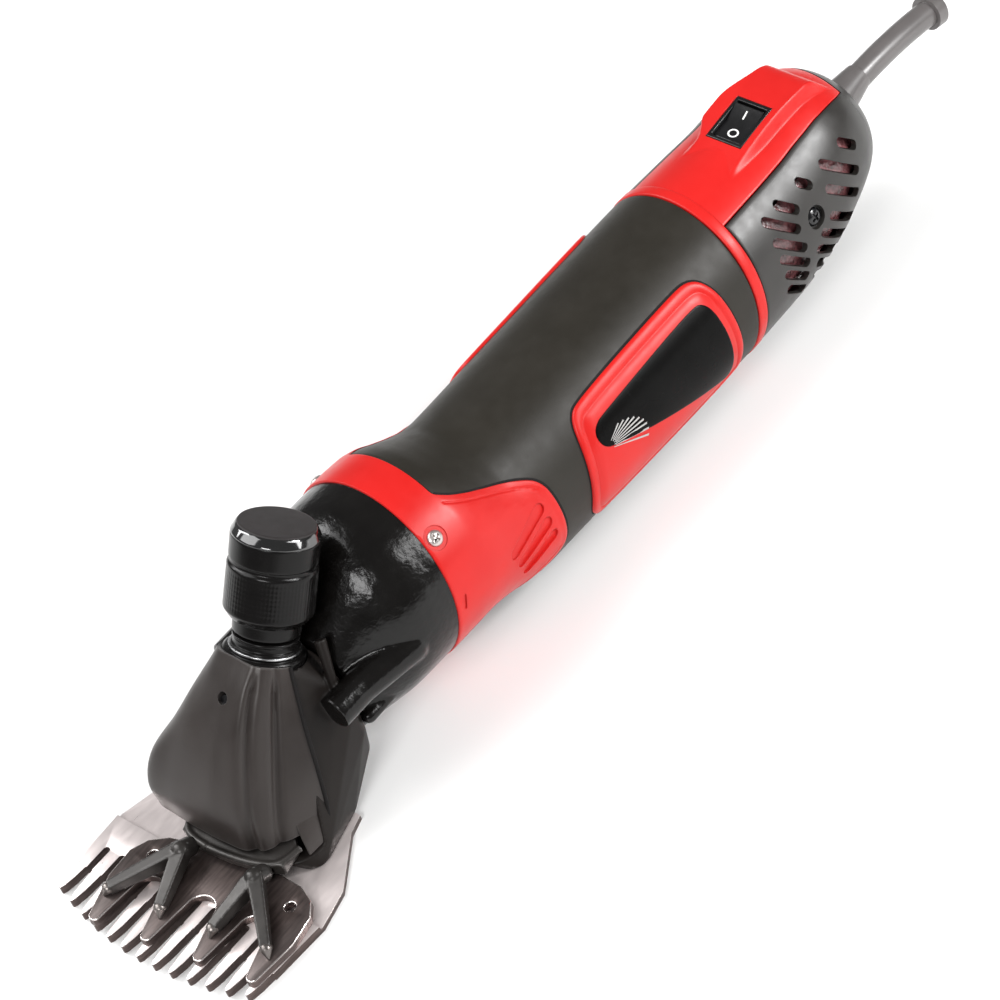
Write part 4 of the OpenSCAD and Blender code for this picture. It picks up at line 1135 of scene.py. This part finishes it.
def bar_solid(p, q, wide0, tall0, wide1, tall1):
    """A tapered square bar from p to q, widest across and upright."""
    p, q = np.array(p, float), np.array(q, float)
    way = unit(q - p)
    side = np.cross(way, (0, 0, 1.0))
    side = unit(side)
    over = np.cross(side, way)
    points = []
    for c, w, t in ((p, wide0, tall0), (q, wide1, tall1)):
        points += [c + side * sx * w / 2 + over * sz * t / 2
                   for sx, sz in ((-1, -1), (1, -1), (1, 1), (-1, 1))]
    return points, slab_faces(4)


def add_yokes():
    for side, word in ((1, "left"), (-1, "right")):
        hub = np.array((-227.8, side * 13.3, -20.9))
        parts, feet = [], []
        for k in (0.5, 1.5):
            foot = np.array((-245.9, side * k * 19.125, -23.9))
            points, faces = bar_solid(hub, foot, 4.6, 5.0, 3.2, 3.4)
            parts.append(loose(swung(points), faces))
            way = unit(foot - hub)
            feet.append((foot, way))
        points, faces = rod(hub + (2.4, 0, -1.5), hub + (-0.6, 0, 0.2), 3.0, 3.1)
        parts.append(loose(swung(points), faces))
        cast_copy(parts, "yoke_%s_skin" % word, 0.3, 3, "fork", "fork", ("yoke_" + word,))
        for n, (foot, way) in enumerate(feet):
            points, faces = rod(foot + way * 0.2, foot + way * 1.9 + np.array((0, 0, -1.6)), 1.9, 0.55)
            add_mesh("yoke_%s_foot_%d" % (word, n), swung(points), faces, "fork", "foot")


def add_fork():
    parts = [NODES["fork"]]
    lip = catmull([(-214, 19.5, -21.4), (-221.0, 16.5, -21.6), (-223.6, 9, -21.6), (-224.2, 0, -21.6),
                   (-223.6, -9, -21.6), (-221.0, -16.5, -21.6), (-214, -19.5, -21.4)], 60)
    parts.append(loose(*rod_path(swung(lip), 1.05, 12)))
    cast_copy(parts, "fork_skin", 0.4, 2, "fork", "fork", ("fork",))


# ------------------------------------------------------------------ screws
def screw_head(name, place, radius, height, finish_name):
    """A domed head with a cross recess; place(h, u, v) is square to the surface."""
    dome = [(height * math.sin(t), radius * math.cos(t)) for t in np.linspace(0, 1.45, 8)]
    profile = [(-1.2, radius)] + dome
    points, steps = [], 48
    for h, r in profile:
        points += [place(h, u, v) for u, v in circle(r, steps)]
    faces = grid_faces(len(profile), steps, wrap_columns=True)
    faces += [tuple(range(steps)), tuple(range((len(profile) - 1) * steps, len(profile) * steps))]
    head = add_mesh(name, points, faces, "handpiece", finish_name)
    cuts = []
    long, wide = 0.55 * radius, 0.13 * radius
    for turn in (0.35, 0.35 + math.pi / 2):
        c, s = math.cos(turn), math.sin(turn)
        corners = ((-long, -wide), (long, -wide), (long, wide), (-long, wide))
        arm = [(u * c - v * s, u * s + v * c) for u, v in corners]
        cuts.append(loose(*prism(arm, lambda u, v: place(height - 0.9, u, v),
                                 lambda u, v: place(height + 1, u, v))))
    carve(head, cuts)
    return settle(head, "handpiece", finish_name, smooth=40)


def add_screws():
    for side, word in ((1, "right"), (-1, "left")):
        place = on_side(side * TRIM_SCREW[1], TRIM_SCREW[0], -0.1)
        head = screw_head("trim_screw_" + word, place, 2.45, 1.3, "plated")
        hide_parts("trim_screws")
        angle = side * math.acos((GRILLE_SCREW[1] - 0.4) / 28.4)
        place = on_side(angle, GRILLE_SCREW[0], -1.6)
        head = screw_head("grille_screw_" + word, place, 2.9, 1.3, "black_steel")
        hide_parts("grille_screws")


paint_cad_nodes()
add_studio()
add_sleeve()
add_trim()
add_badges()
add_rear()
add_switch()
add_gear_housing()
add_head_cover()
add_head_casting()
add_knob()
add_blades()
add_yokes()
add_fork()
add_screws()
